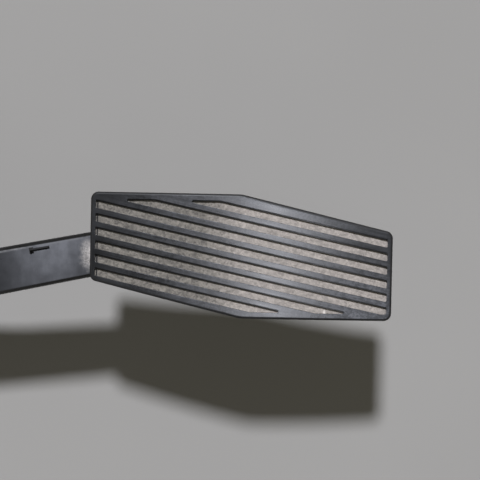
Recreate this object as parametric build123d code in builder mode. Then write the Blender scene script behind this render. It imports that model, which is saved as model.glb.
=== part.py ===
from build123d import *

import os
from math import atan2, cos, hypot, radians, sin, sqrt, tan

# Accelerator pedal with a built-in position sensor, in millimetres.
# The mounting face lies on z = 0 and the origin is on that face, straight below the pivot axis.
# +X runs along the pedal to the pad, +Z points away from the mounting face and Y is the pivot axis.

# Pad: a skewed six-sided plate with a crowned, grooved face
pad_length = 132.0
pad_end_width = 38.6
pad_side_step = 15.2
pad_crown_radius = 430.0
pad_face_height = 92.0
pad_plate = 3.6
pad_rim_depth = 8.0
pad_rim_wall = 2.4
pad_rib_wall = 1.6
pad_rib_rows = 5
pad_rib_lines = 2
pad_corner_round = 3.3
pad_waist_round = 12.0
pad_edge_round = 1.1

# Grooves in the pad's face
groove_count = 8
groove_pitch = 5.8
groove_width = 3.6
groove_depth = 1.7
groove_angle = 11.8
groove_end_margin = 2.2
groove_side_margin = 2.9
groove_offset = 0.5
groove_tip_round = 0.6

# Arm: a channel, closed in front and open behind, that steps sideways from the hub to the pad
arm_reach = 118.0
arm_side_step = 16.0
arm_end_offset = 0.75
arm_skew = 11.7
arm_hub_width = 22.0
arm_pad_width = 20.0
arm_pad_depth = 11.0
arm_below_face = 4.4
arm_face_slope = 9.0
arm_root_slope = 33.0
arm_back_slope = 10.5
arm_under_slope = 30.0
arm_bend_share = 0.54
arm_facing_up = 0.5
arm_plan_round = 60.0
arm_edge_round = 1.8
arm_front_wall = 3.2
arm_side_wall = 2.8
arm_rib_wall = 1.8
arm_rib_count = 5
spine_length = 70.0
spine_tip_width = 10.0

# Pocket in each flank of the arm's root
pocket_margin = 3.4
pocket_top_margin = 4.1
pocket_web = 6.0
pocket_round = 2.0

# L-shaped blind slit in the arm's front wall
slit_from_pad = 19.6
slit_length = 9.2
slit_width = 0.7
slit_foot_length = 1.6
slit_foot_width = 1.8
slit_edge_margin = 3.6
slit_depth = 2.4

# Hub, pivot and the finger that pushes the plunger
hub_radius = 11.0
hub_width = 24.0
hub_gap = 1.0
pin_radius = 4.0
finger_reach = 22.0
finger_nose = 4.0
finger_width = 12.0
press_angle = 15.0

# Running and seating clearances
running_gap = 0.05
plunger_gap = 0.1
contact_gap = 0.2
seat_gap = 0.3
stop_gap = 0.3

# Bearings, shaft seal and retaining clip
bush_wall = 1.5
bush_flange = 1.2
bush_flange_rim = 2.0
bearing_boss_wall = 4.0
bearing_boss_height = 3.4
seal_step = 1.2
seal_width = 2.4
seal_lip_wall = 1.0
seal_lip_depth = 1.2
clip_wall = 2.4
clip_thickness = 1.0
clip_groove_depth = 0.7
clip_mouth = 4.6
pin_tail = 2.0
pin_chamfer = 0.6

# Housing
base_thickness = 5.0
cheek_wall = 4.0
housing_wall = 3.5
crown_margin = 6.0
hood_margin = 2.5
nose_reach = 34.0
nose_lip = 1.0
stop_wall_clear = 3.0
buffer_thickness = 3.0
buffer_height = 5.0
buffer_depth = 6.0
buffer_side_gap = 3.0
buffer_drop = 9.0
ledge_thickness = 3.0
cheek_round = 1.6
edge_break = 0.8

# Mounting ears: a pair at the rear and one at the side, with steel sleeves
ear_pair_x = -58.0
ear_pair_spacing = 58.0
ear_side_x = 12.0
ear_side_y = -33.0
ear_radius = 9.0
sleeve_bore_radius = 3.3
sleeve_wall = 1.7
sleeve_length = 8.0
ear_wall = 2.6
gusset_wall = 3.0
barrel_rib_count = 2

# Plunger, springs and the cap behind them
plunger_radius = 9.0
plunger_length = 13.0
plunger_head = 3.5
plunger_wall = 1.4
plunger_slot_pairs = 2
plunger_slot_width = 1.6
plunger_slot_length = 7.0
plunger_chamfer = 0.8
guide_length = 3.0
spring_length = 36.0
outer_coil_radius = 6.2
outer_wire_radius = 0.9
outer_turns = 6
inner_coil_radius = 3.9
inner_wire_radius = 0.65
inner_turns = 7
closed_turns = 1
coil_gap = 0.3
wire_sides = 6
barrel_wall = 2.6
cap_spigot = 4.0
cap_flange = 3.0
cap_lug_radius = 4.4
cap_lug_gap = 0.8
cap_lug_depth = 10.0
cap_foot_gap = 0.3

# Sensor chamber on the +Y cheek, with its rotor, board and lid
chamber_length = 45.0
chamber_height = 41.0
chamber_depth = 15.6
chamber_wall = 2.6
chamber_corner = 6.0
lid_thickness = 2.6
lid_spigot = 2.0
lid_spigot_wall = 1.6
lid_gap = 0.2
lid_chamfer = 0.8
lid_dish_depth = 0.8
lid_dish_margin = 5.0
gasket_thickness = 0.8
lug_radius = 4.2
lug_inset = 4.0
screw_radius = 1.5
screw_hole_radius = 1.7
screw_length = 9.0
screw_head_radius = 3.0
screw_head_height = 2.2
screw_socket_radius = 1.5
screw_socket_depth = 1.3
rotor_radius = 12.0
rotor_thickness = 4.6
rotor_gap = 0.6
rotor_flat = 1.0
magnet_inner_radius = 6.8
magnet_outer_radius = 10.6
magnet_thickness = 2.4
magnet_split = 4.0
board_thickness = 1.4
board_gap = 0.5
board_hole_radius = 1.2
board_post_radius = 2.2
board_post_inset = 4.2
chip_length = 6.0
chip_width = 5.0
chip_height = 1.4
chip_spacing = 12.0
chip_air_gap = 0.8

# Six-way plug socket on the chamber's rear wall
socket_length = 20.0
socket_inner_width = 20.0
socket_inner_height = 9.0
socket_wall = 1.8
socket_corner = 1.8
socket_floor = 3.0
latch_width = 6.0
latch_length = 4.0
latch_height = 1.4
terminal_count = 6
terminal_pitch = 2.6
terminal_width = 1.0
terminal_thickness = 0.8
terminal_in_socket = 10.0
terminal_on_board = 5.0
terminal_chamfer = 0.25


def at_y(y):
    """Drawing plane across the pivot axis at that y: its own x is X and its own y is Z."""
    return Plane.XZ.offset(-y)


# Places worked out from the sizes above
pad_near_x = arm_reach
pad_x = arm_reach + pad_length / 2
pad_far_x = arm_reach + pad_length
pad_y = arm_side_step
arm_end_y = pad_y - arm_end_offset
pad_width = pad_end_width + pad_side_step
crown_axis_height = pad_face_height - pad_crown_radius
pad_span = 2 * pad_width
overall_height = pad_face_height + pad_rim_depth

plunger_bore = plunger_radius - plunger_wall
barrel_bore = plunger_radius + plunger_gap
barrel_radius = barrel_bore + barrel_wall
spring_height = base_thickness + cap_foot_gap + barrel_radius
pivot_height = spring_height + finger_reach
hub_half = hub_width / 2
cheek_in = hub_half + contact_gap + bush_flange
cheek_out = cheek_in + cheek_wall
boss_out = cheek_out + bearing_boss_height
bush_bore = pin_radius + running_gap
bush_radius = bush_bore + bush_wall
seal_radius = bush_radius + seal_step
boss_radius = bush_radius + bearing_boss_wall
rear_wall_in = -(hub_radius + hub_gap)
rear_wall_out = rear_wall_in - housing_wall
cheek_radius = hub_radius + crown_margin

plunger_front = -(finger_nose + contact_gap)
plunger_back = plunger_front - plunger_length
spring_front = plunger_front - plunger_head
spring_back = spring_front - spring_length
barrel_rear = spring_back - cap_spigot
cap_back = barrel_rear - cap_flange
cap_lug_y = barrel_bore + cap_lug_gap + cap_lug_radius
guide_radius = inner_coil_radius - inner_wire_radius - seat_gap

stop_wall_x = finger_nose + contact_gap + buffer_thickness
stop_wall_top = pivot_height - hub_radius - stop_wall_clear
pressed_slope = radians(arm_under_slope - press_angle)
buffer_front_x = nose_reach - nose_lip
buffer_back_x = buffer_front_x - buffer_depth
buffer_width = 2 * (cheek_in - buffer_side_gap)

chamber_out = cheek_out + chamber_depth
lid_seat = chamber_out + gasket_thickness
lid_out = lid_seat + lid_thickness
rotor_in = boss_out + rotor_gap
rotor_out = rotor_in + rotor_thickness
board_in = rotor_out + chip_air_gap + chip_height
cavity_length = chamber_length - 2 * chamber_wall
cavity_height = chamber_height - 2 * chamber_wall
cavity_corner = chamber_corner - chamber_wall
chamber_rear_x = -chamber_length / 2
lug_x = chamber_length / 2 + lug_radius - lug_inset / 2
lug_z = chamber_height / 2 - lug_inset
post_x = cavity_length / 2 - board_post_inset
post_z = cavity_height / 2 - board_post_inset
socket_rear_x = chamber_rear_x - socket_length
socket_outer_width = socket_inner_width + 2 * socket_wall
socket_outer_height = socket_inner_height + 2 * socket_wall
terminal_y = board_in - terminal_thickness / 2
terminal_front_x = chamber_rear_x + chamber_wall + board_gap + terminal_on_board
terminal_rear_x = chamber_rear_x - socket_floor - terminal_in_socket
terminal_length = terminal_front_x - terminal_rear_x

lid_dish_length = chamber_length - 2 * lid_dish_margin
lid_dish_height = chamber_height - 2 * lid_dish_margin
lid_spigot_length = cavity_length - 2 * lid_gap
lid_spigot_height = cavity_height - 2 * lid_gap
clip_in = -(boss_out + contact_gap)
pin_end = clip_in - clip_thickness - pin_tail

ear_pair_y = ear_pair_spacing / 2
ear_pair = [(ear_pair_x, ear_pair_y), (ear_pair_x, -ear_pair_y)]
ear_places = ear_pair + [(ear_side_x, ear_side_y)]
sleeve_radius = sleeve_bore_radius + sleeve_wall
both_ways = [(side, updown) for side in (-1, 1) for updown in (-1, 1)]
lug_places = [(side * lug_x, pivot_height + updown * lug_z) for side, updown in both_ways]
post_places = [(side * post_x, pivot_height + updown * post_z) for side, updown in both_ways]
cap_lug_places = [(-cap_lug_y, spring_height), (cap_lug_y, spring_height)]
terminal_mid_x = (terminal_front_x + terminal_rear_x) / 2
terminal_rows = [terminal_pitch * (i - (terminal_count - 1) / 2) for i in range(terminal_count)]
terminal_places = [(terminal_mid_x, terminal_y, pivot_height + row) for row in terminal_rows]
socket_plane = Plane((chamber_rear_x, terminal_y, pivot_height), x_dir=(0, 1, 0), z_dir=(-1, 0, 0))
chamber_bottom = pivot_height - chamber_height / 2 + edge_break
chamber_gusset_corners = [
    (cheek_in, base_thickness),
    (cheek_in, chamber_bottom),
    (chamber_out - chamber_wall, chamber_bottom),
    (cheek_out, base_thickness),
]
ear_gusset_corners = [
    (-cheek_in, base_thickness / 2),
    (-cheek_in, chamber_bottom),
    (-cheek_out, chamber_bottom),
    (ear_side_y + ear_radius, base_thickness / 2),
]
barrel_rib_corners = [
    (-cheek_out, base_thickness / 2),
    (cheek_out, base_thickness / 2),
    (barrel_radius, spring_height),
    (-barrel_radius, spring_height),
]
barrel_rib_step = (rear_wall_out - barrel_rear - cap_lug_depth) / (barrel_rib_count + 1)
barrel_rib_places = [rear_wall_out - barrel_rib_step * (i + 1) for i in range(barrel_rib_count)]


def crown_height(x, depth):
    """Height of the crowned pad at x, that far below its face."""
    return crown_axis_height + sqrt((pad_crown_radius - depth) ** 2 - (x - pad_x) ** 2)


def buffer_top(x):
    """Height just below the underside of the arm's root with the pedal fully pressed."""
    return pivot_height + tan(pressed_slope) * x - (hub_radius + stop_gap) / cos(pressed_slope)


nose_top = buffer_top(buffer_back_x) - buffer_height

# Side view of the arm: in front and behind, a line from the pad meets a line that touches the hub
arm_face_end = crown_height(pad_near_x, 0) - arm_below_face
arm_back_end = arm_face_end - arm_pad_depth


def line_height(x, end_height, slope):
    """Height at x of a line that reaches end_height at the pad's near end."""
    return end_height + tan(radians(slope)) * (x - pad_near_x)


def root_height(x, slope, offset):
    """Height at x of a line with that slope, that far above the pivot axis."""
    return pivot_height + tan(radians(slope)) * x + offset / cos(radians(slope))


def hub_touch(slope, offset):
    """Point where that line touches a circle round the pivot axis."""
    return (-offset * sin(radians(slope)), pivot_height + offset * cos(radians(slope)))


def corner_x(end_height, end_slope, root_slope, offset):
    """Where the line from the pad and the line from the hub meet."""
    rise = line_height(0, end_height, end_slope) - root_height(0, root_slope, offset)
    return rise / (tan(radians(root_slope)) - tan(radians(end_slope)))


front_x = corner_x(arm_face_end, arm_face_slope, arm_root_slope, hub_radius)
front_corner = (front_x, root_height(front_x, arm_root_slope, hub_radius))
front_start = hub_touch(arm_root_slope, hub_radius)
front_leg = (front_x - front_start[0]) / cos(radians(arm_root_slope))
arm_bend_round = arm_bend_share * front_leg / tan(radians(arm_root_slope - arm_face_slope) / 2)
back_x = corner_x(arm_back_end, arm_back_slope, arm_under_slope, -hub_radius)
back_corner = (back_x, root_height(back_x, arm_under_slope, -hub_radius))

# Inner face of the arm's front wall
inner_face_end = arm_face_end - arm_front_wall / cos(radians(arm_face_slope))
inner_offset = hub_radius - arm_front_wall
inner_x = corner_x(inner_face_end, arm_face_slope, arm_root_slope, inner_offset)
inner_corner = (inner_x, root_height(inner_x, arm_root_slope, inner_offset))
hood_x = front_start[0] - hood_margin

# Plan view of the arm
arm_bend_x = pad_near_x - arm_end_y / tan(radians(arm_skew))
spine_end_x = pad_near_x + spine_length
spine_start_x = pad_near_x + pad_rim_wall / 2
spine_mid_x = (spine_start_x + spine_end_x) / 2
channel_start_x = nose_reach + housing_wall
channel_end_x = pad_near_x - arm_side_wall
spine_in_start_x = pad_near_x + pad_rim_wall
spine_in_end_x = spine_end_x - arm_side_wall
spine_in_mid_x = (spine_in_start_x + spine_in_end_x) / 2
rib_step = (channel_end_x - channel_start_x) / (arm_rib_count + 1)
rib_places = [(channel_start_x + rib_step * (i + 1), 0) for i in range(arm_rib_count)]


def arm_plan(inset, start_x):
    """Corners of the arm seen from the front, from start_x to the end of its spine under the pad."""
    half_hub = arm_hub_width / 2 - inset
    half_pad = arm_pad_width / 2 - inset
    half_tip = spine_tip_width / 2 - inset
    far_side = [(start_x, half_hub), (arm_bend_x, half_hub), (pad_near_x, arm_end_y + half_pad)]
    near_side = [(pad_near_x, arm_end_y - half_pad), (arm_bend_x, -half_hub), (start_x, -half_hub)]
    return far_side + [(spine_end_x, pad_y + half_tip), (spine_end_x, pad_y - half_tip)] + near_side


# Pocket in each flank of the arm's root, inside its outline by a margin
pocket_start_x = hub_radius + pocket_margin
pocket_end_x = channel_start_x - pocket_margin
pocket_corners = [
    (pocket_start_x, root_height(pocket_start_x, arm_root_slope, hub_radius - pocket_margin)),
    (pocket_end_x, line_height(pocket_end_x, arm_face_end, arm_face_slope) - pocket_top_margin),
    (pocket_end_x, root_height(pocket_end_x, arm_under_slope, pocket_margin - hub_radius)),
    (pocket_start_x, root_height(pocket_start_x, arm_under_slope, pocket_margin - hub_radius)),
]

# Slit along the arm's upper edge in plan
edge_run = pad_near_x - arm_bend_x
edge_rise = arm_end_y + arm_pad_width / 2 - arm_hub_width / 2
edge_angle = atan2(edge_rise, edge_run)
slit_x = pad_near_x - slit_from_pad + slit_edge_margin * sin(edge_angle)
slit_y = arm_end_y + arm_pad_width / 2 - slit_from_pad * tan(edge_angle) - slit_edge_margin * cos(edge_angle)
slit_rise = tan(radians(arm_face_slope))
slit_plane = Plane(
    origin=(slit_x, slit_y, line_height(slit_x, arm_face_end, arm_face_slope)),
    x_dir=(cos(edge_angle), sin(edge_angle), slit_rise * cos(edge_angle)),
    z_dir=(-slit_rise, 0, 1),
)

pad_top_y = pad_y + pad_width / 2
pad_bottom_y = pad_y - pad_width / 2
near_edge = [(pad_near_x, pad_bottom_y + pad_side_step), (pad_near_x, pad_top_y)]
far_edge = [(pad_far_x, pad_top_y - pad_side_step), (pad_far_x, pad_bottom_y)]
pad_corners = near_edge + [(pad_x, pad_top_y)] + far_edge + [(pad_x, pad_bottom_y)]
crown_axis = Location((pad_x, pad_y, crown_axis_height), (90, 0, 0))
pad_low = crown_height(pad_near_x, pad_rim_depth) - pad_rim_depth
groove_field_length = pad_length - 2 * groove_end_margin
groove_field_width = pad_width - 2 * groove_side_margin


def draw_pad_outline(sketch):
    """The pad's six-sided outline with its rounded corners."""
    Polygon(*pad_corners, align=None)
    fillet(sketch.vertices().group_by(Axis.X)[1], radius=pad_waist_round)
    fillet(sketch.vertices().group_by(Axis.X)[0], radius=pad_corner_round)
    fillet(sketch.vertices().group_by(Axis.X)[-1], radius=pad_corner_round)


# Grooves: slanting stripes that stop short of the pad's ends and sides
with BuildPart() as grooves:
    with BuildSketch(Plane.XY.offset(pad_low)) as stripes:
        with Locations(Location((pad_x, pad_y - groove_offset, 0), (0, 0, -groove_angle))):
            with GridLocations(0, groove_pitch, 1, groove_count):
                Rectangle(2 * pad_length, groove_width)
        with Locations((pad_x, pad_y)):
            Rectangle(groove_field_length, groove_field_width, mode=Mode.INTERSECT)
        fillet(stripes.vertices(), radius=groove_tip_round)
    extrude(amount=overall_height)
    with Locations(crown_axis):
        Cylinder(pad_crown_radius - groove_depth, pad_span, mode=Mode.SUBTRACT)

# Hollow behind the pad, with its stiffening ribs left standing
with BuildPart() as pad_hollow:
    with BuildSketch(Plane.XY.offset(pad_low)) as hollow_outline:
        draw_pad_outline(hollow_outline)
        offset(amount=-pad_rim_wall)
    extrude(amount=overall_height)
    with Locations(crown_axis):
        Cylinder(pad_crown_radius - pad_plate, pad_span, mode=Mode.INTERSECT)
    with Locations((pad_x, pad_y, pad_face_height)):
        with GridLocations(pad_length / (pad_rib_rows + 1), 0, pad_rib_rows, 1):
            Box(pad_rib_wall, pad_span, pad_face_height, mode=Mode.SUBTRACT)
        with GridLocations(0, pad_width / (pad_rib_lines + 1), 1, pad_rib_lines):
            Box(2 * pad_length, pad_rib_wall, pad_face_height, mode=Mode.SUBTRACT)

# Pad: plate and rim cut from a tube whose axis lies far below
with BuildPart() as pad:
    with BuildSketch(Plane.XY.offset(pad_low)) as pad_outline:
        draw_pad_outline(pad_outline)
    extrude(amount=overall_height)
    with Locations(crown_axis):
        Cylinder(pad_crown_radius, pad_span, mode=Mode.INTERSECT)
        Cylinder(pad_crown_radius - pad_rim_depth, pad_span, mode=Mode.SUBTRACT)
    fillet(pad.faces().sort_by(Axis.Z)[-1].edges(), radius=pad_edge_round)
    add(grooves.part, mode=Mode.SUBTRACT)
    add(pad_hollow.part, mode=Mode.SUBTRACT)

# Channel inside the arm and its spine, with the cross ribs left standing
with BuildPart() as channel:
    with BuildSketch(Plane.XZ):
        with BuildLine():
            inner_front = FilletPolyline(
                hub_touch(arm_root_slope, inner_offset),
                inner_corner,
                (channel_end_x, line_height(channel_end_x, inner_face_end, arm_face_slope)),
                radius=arm_bend_round - arm_front_wall,
            )
            Polyline(inner_front @ 1, (channel_end_x, 0), (0, 0), inner_front @ 0)
        make_face()
        with BuildLine():
            under_plate = ThreePointArc(
                (spine_in_start_x, crown_height(spine_in_start_x, pad_plate)),
                (spine_in_mid_x, crown_height(spine_in_mid_x, pad_plate)),
                (spine_in_end_x, crown_height(spine_in_end_x, pad_plate)),
            )
            Polyline(under_plate @ 1, (spine_in_end_x, 0), (spine_in_start_x, 0), under_plate @ 0)
        make_face()
    extrude(amount=pad_span, both=True)
    with BuildSketch():
        Polygon(*arm_plan(arm_side_wall, channel_start_x), align=None)
    extrude(amount=overall_height, mode=Mode.INTERSECT)
    with Locations(*rib_places):
        Box(arm_rib_wall, pad_span, 2 * overall_height, mode=Mode.SUBTRACT)

# Arm: side view and plan view brought together, hollowed from behind
with BuildPart() as arm:
    with BuildSketch(Plane.XZ):
        with BuildLine():
            front = FilletPolyline(
                front_start,
                front_corner,
                (spine_start_x, line_height(spine_start_x, arm_face_end, arm_face_slope)),
                radius=arm_bend_round,
            )
            in_plate = ThreePointArc(
                (spine_start_x, crown_height(spine_start_x, pad_plate / 2)),
                (spine_mid_x, crown_height(spine_mid_x, pad_plate / 2)),
                (spine_end_x, crown_height(spine_end_x, pad_plate / 2)),
            )
            back = FilletPolyline(
                (spine_end_x, crown_height(spine_end_x, pad_rim_depth)),
                (pad_near_x, arm_back_end),
                back_corner,
                hub_touch(arm_under_slope, -hub_radius),
                radius=arm_bend_round,
            )
            Line(front @ 1, in_plate @ 0)
            Line(in_plate @ 1, back @ 0)
            Line(back @ 1, front @ 0)
        make_face()
    extrude(amount=pad_span, both=True)
    with BuildSketch() as arm_outline:
        Polygon(*arm_plan(0, -hub_radius), align=None)
        bends = arm_outline.vertices().filter_by_position(Axis.X, arm_bend_x, arm_bend_x, (True, True))
        fillet(bends, radius=arm_plan_round)
    extrude(amount=overall_height, mode=Mode.INTERSECT)
    facing_up = arm.faces().filter_by(lambda face: face.normal_at().Z > arm_facing_up)
    front_faces = facing_up.filter_by(lambda face: face.center().X < pad_near_x)
    fillet(front_faces.edges().filter_by(Axis.Y, reverse=True), radius=arm_edge_round)
    add(channel.part, mode=Mode.SUBTRACT)
    for side in (-1, 1):
        with BuildSketch(at_y(side * pocket_web / 2)) as pocket:
            Polygon(*pocket_corners, align=None)
            fillet(pocket.vertices(), radius=pocket_round)
        extrude(amount=-side * arm_hub_width, mode=Mode.SUBTRACT)
    with BuildSketch(slit_plane):
        Rectangle(slit_length, slit_width, align=(Align.MAX, Align.MAX))
        with Locations((-slit_length, 0)):
            Rectangle(slit_foot_length, slit_foot_width, align=(Align.MIN, Align.MAX))
    extrude(amount=-slit_depth, mode=Mode.SUBTRACT)

# Pedal lever: pad, arm, hub and finger in one moulding
with BuildPart() as pedal_lever:
    add(arm.part)
    add(pad.part)
    with BuildSketch(Plane.XZ):
        with Locations((0, pivot_height)):
            Circle(hub_radius)
    extrude(amount=hub_half, both=True)
    with BuildSketch(Plane.XZ):
        with Locations((0, spring_height)):
            Circle(finger_nose)
            Rectangle(2 * finger_nose, finger_reach, align=(Align.CENTER, Align.MIN))
    extrude(amount=finger_width / 2, both=True)
    with BuildSketch(Plane.XZ):
        with Locations((0, pivot_height)):
            Circle(pin_radius)
    extrude(amount=hub_half, both=True, mode=Mode.SUBTRACT)

# Foot of the housing: one outline for the rear pair of ears, one for the side ear
with BuildSketch() as rear_foot:
    with Locations(*ear_pair):
        Circle(ear_radius)
    with Locations((rear_wall_in, 0)):
        Rectangle(housing_wall, 2 * cheek_out)
    make_hull()

with BuildSketch() as side_foot:
    with Locations((ear_side_x, ear_side_y)):
        Circle(ear_radius)
    with Locations((ear_side_x, -cheek_in)):
        Rectangle(3 * ear_radius, cheek_wall)
    make_hull()

with BuildPart() as foot:
    with BuildSketch():
        add(rear_foot.sketch)
        add(side_foot.sketch)
    extrude(amount=base_thickness)
    chamfer(foot.faces().group_by(Axis.Z)[-1].edges(), edge_break)
    with BuildSketch():
        with Locations(*ear_places):
            Circle(sleeve_radius + ear_wall)
    extrude(amount=sleeve_length)

# Rear face of the barrel with its two screw lugs
with BuildSketch(Plane.YZ.offset(barrel_rear)) as barrel_end:
    with Locations((0, spring_height)):
        Circle(barrel_radius)
    with Locations(*cap_lug_places):
        Circle(cap_lug_radius)
    make_hull()

# Housing: foot, cheeks, spring barrel, sensor chamber and plug socket in one moulding
with BuildPart() as housing:
    with BuildSketch(Plane.XZ):
        with Locations((0, pivot_height)):
            Circle(cheek_radius)
        with Locations((rear_wall_out, 0)):
            Rectangle(nose_reach - rear_wall_out, nose_top, align=(Align.MIN, Align.MIN))
        make_hull()
    extrude(amount=cheek_out, both=True)
    cheek_edges = housing.faces().filter_by(Axis.Y).edges()
    fillet(cheek_edges.filter_by(lambda edge: edge.center().Z > 0), radius=cheek_round)
    with Locations((rear_wall_in, 0, base_thickness)):
        Box(
            nose_reach - housing_wall - rear_wall_in,
            2 * cheek_in,
            overall_height,
            align=(Align.MIN, Align.CENTER, Align.MIN),
            mode=Mode.SUBTRACT,
        )
    with Locations((rear_wall_in, 0, nose_top)):
        Box(
            2 * nose_reach,
            2 * cheek_in,
            overall_height,
            align=(Align.MIN, Align.CENTER, Align.MIN),
            mode=Mode.SUBTRACT,
        )
    add(foot.part)

    # Hood over the back of the hub, stop wall and ledge between the cheeks
    with BuildSketch(Plane.XZ):
        with Locations((0, pivot_height)):
            Circle(cheek_radius - cheek_round)
            Circle(hub_radius + hub_gap, mode=Mode.SUBTRACT)
        with Locations((hood_x, pivot_height)):
            Rectangle(cheek_radius, cheek_radius, align=(Align.MAX, Align.MIN), mode=Mode.INTERSECT)
    extrude(amount=cheek_in, both=True)
    with Locations((stop_wall_x, 0, 0)):
        Box(housing_wall, 2 * cheek_in, stop_wall_top, align=(Align.MIN, Align.CENTER, Align.MIN))
    with Locations((nose_reach, 0, nose_top)):
        Box(
            buffer_depth + 2 * nose_lip,
            2 * cheek_in,
            ledge_thickness,
            align=(Align.MAX, Align.CENTER, Align.MAX),
        )

    # Spring barrel, its side ribs and its screw lugs
    with BuildSketch(Plane.YZ.offset(barrel_rear)):
        with Locations((0, spring_height)):
            Circle(barrel_radius)
    extrude(amount=rear_wall_in - barrel_rear)
    extrude(barrel_end.sketch, amount=cap_lug_depth)
    with Locations((rear_wall_in, 0, base_thickness / 2)):
        Box(
            rear_wall_in - barrel_rear,
            barrel_radius,
            barrel_radius,
            align=(Align.MAX, Align.CENTER, Align.MIN),
        )
    for rib_x in barrel_rib_places:
        with BuildSketch(Plane.YZ.offset(rib_x)):
            Polygon(*barrel_rib_corners, align=None)
        extrude(amount=gusset_wall)

    # Gussets from the side ear to the cheek and from the cheek to the sensor chamber
    for side in (-1, 1):
        with BuildSketch(Plane.YZ.offset(ear_side_x + side * sleeve_radius - gusset_wall / 2)):
            Polygon(*ear_gusset_corners, align=None)
        extrude(amount=gusset_wall)
        with BuildSketch(Plane.YZ.offset(side * boss_radius - gusset_wall / 2)):
            Polygon(*chamber_gusset_corners, align=None)
        extrude(amount=gusset_wall)

    # Sensor chamber, plug socket and bearing bosses
    with BuildSketch(at_y(cheek_in)):
        with Locations((0, pivot_height)):
            RectangleRounded(chamber_length, chamber_height, chamber_corner)
    extrude(amount=cheek_in - chamber_out)
    with BuildSketch(at_y(lid_seat)):
        with Locations(*lug_places):
            Circle(lug_radius)
    extrude(amount=screw_length + gasket_thickness)
    with BuildSketch(socket_plane):
        RectangleRounded(socket_outer_height, socket_outer_width, socket_corner + socket_wall)
    extrude(amount=socket_length)
    with BuildSketch(at_y(-cheek_in)):
        with Locations((0, pivot_height)):
            Circle(boss_radius)
    extrude(amount=boss_out - cheek_in)
    with BuildSketch(at_y(cheek_out)):
        with Locations((0, pivot_height)):
            RectangleRounded(cavity_length, cavity_height, cavity_corner)
    extrude(amount=-(chamber_depth + gasket_thickness), mode=Mode.SUBTRACT)
    with BuildSketch(socket_plane.offset(socket_floor)):
        RectangleRounded(socket_inner_height, socket_inner_width, socket_corner)
    extrude(amount=socket_length, mode=Mode.SUBTRACT)
    with Locations((socket_rear_x + latch_length, terminal_y + socket_outer_height / 2, pivot_height)):
        Box(latch_length, 2 * latch_height, latch_width)
    with BuildSketch(at_y(cheek_out)):
        with Locations((0, pivot_height)):
            Circle(boss_radius)
    extrude(amount=-bearing_boss_height)
    with BuildSketch(at_y(cheek_out)):
        with Locations(*post_places):
            Circle(board_post_radius)
    extrude(amount=cheek_out - board_in)
    with BuildSketch(at_y(board_in)):
        with Locations(*post_places):
            Circle(board_hole_radius - running_gap)
    extrude(amount=-board_thickness)

    # Bores for bearings, seal, plunger, sleeves, screws and terminals
    with BuildSketch(Plane.XZ):
        with Locations((0, pivot_height)):
            Circle(bush_radius)
    extrude(amount=boss_out, both=True, mode=Mode.SUBTRACT)
    with BuildSketch(at_y(boss_out)):
        with Locations((0, pivot_height)):
            Circle(seal_radius)
    extrude(amount=seal_width, mode=Mode.SUBTRACT)
    with BuildSketch(Plane.YZ.offset(barrel_rear)):
        with Locations((0, spring_height)):
            Circle(barrel_bore)
    extrude(amount=rear_wall_in - barrel_rear, mode=Mode.SUBTRACT)
    with BuildSketch(Plane.YZ.offset(barrel_rear)):
        with Locations(*cap_lug_places):
            Circle(screw_radius)
    extrude(amount=cap_lug_depth, mode=Mode.SUBTRACT)
    with BuildSketch(at_y(lid_seat)):
        with Locations(*lug_places):
            Circle(screw_radius)
    extrude(amount=screw_length, mode=Mode.SUBTRACT)
    with BuildSketch():
        with Locations(*ear_places):
            Circle(sleeve_radius)
    extrude(amount=sleeve_length, mode=Mode.SUBTRACT)
    with Locations(*terminal_places):
        Box(terminal_length, terminal_thickness, terminal_width, mode=Mode.SUBTRACT)

# Mounting sleeves, one in each ear
with BuildPart() as mounting_sleeves:
    with BuildSketch():
        with Locations(*ear_places):
            Circle(sleeve_radius)
            Circle(sleeve_bore_radius, mode=Mode.SUBTRACT)
    extrude(amount=sleeve_length)


def flanged_bush(side, outer_y):
    """Bearing bush in one cheek, its flange against the cheek's inner face."""
    with BuildPart() as bush:
        with BuildSketch(at_y(side * (cheek_in - bush_flange))):
            with Locations((0, pivot_height)):
                Circle(bush_radius + bush_flange_rim)
        extrude(amount=-side * bush_flange)
        with BuildSketch(at_y(side * (cheek_in - bush_flange))):
            with Locations((0, pivot_height)):
                Circle(bush_radius)
        extrude(amount=-side * (outer_y - cheek_in + bush_flange))
        with BuildSketch(Plane.XZ):
            with Locations((0, pivot_height)):
                Circle(bush_bore)
        extrude(amount=boss_out, both=True, mode=Mode.SUBTRACT)
    return bush


bush_left = flanged_bush(-1, boss_out)
bush_right = flanged_bush(1, boss_out - seal_width)

# Shaft seal between the right bush and the sensor chamber
with BuildPart() as shaft_seal:
    with BuildSketch(at_y(boss_out)):
        with Locations((0, pivot_height)):
            Circle(seal_radius)
            Circle(bush_bore, mode=Mode.SUBTRACT)
    extrude(amount=seal_width)
    with BuildSketch(at_y(boss_out)):
        with Locations((0, pivot_height)):
            Circle(seal_radius - seal_lip_wall)
            Circle(bush_bore + seal_lip_wall / 2, mode=Mode.SUBTRACT)
    extrude(amount=seal_lip_depth, mode=Mode.SUBTRACT)

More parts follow.
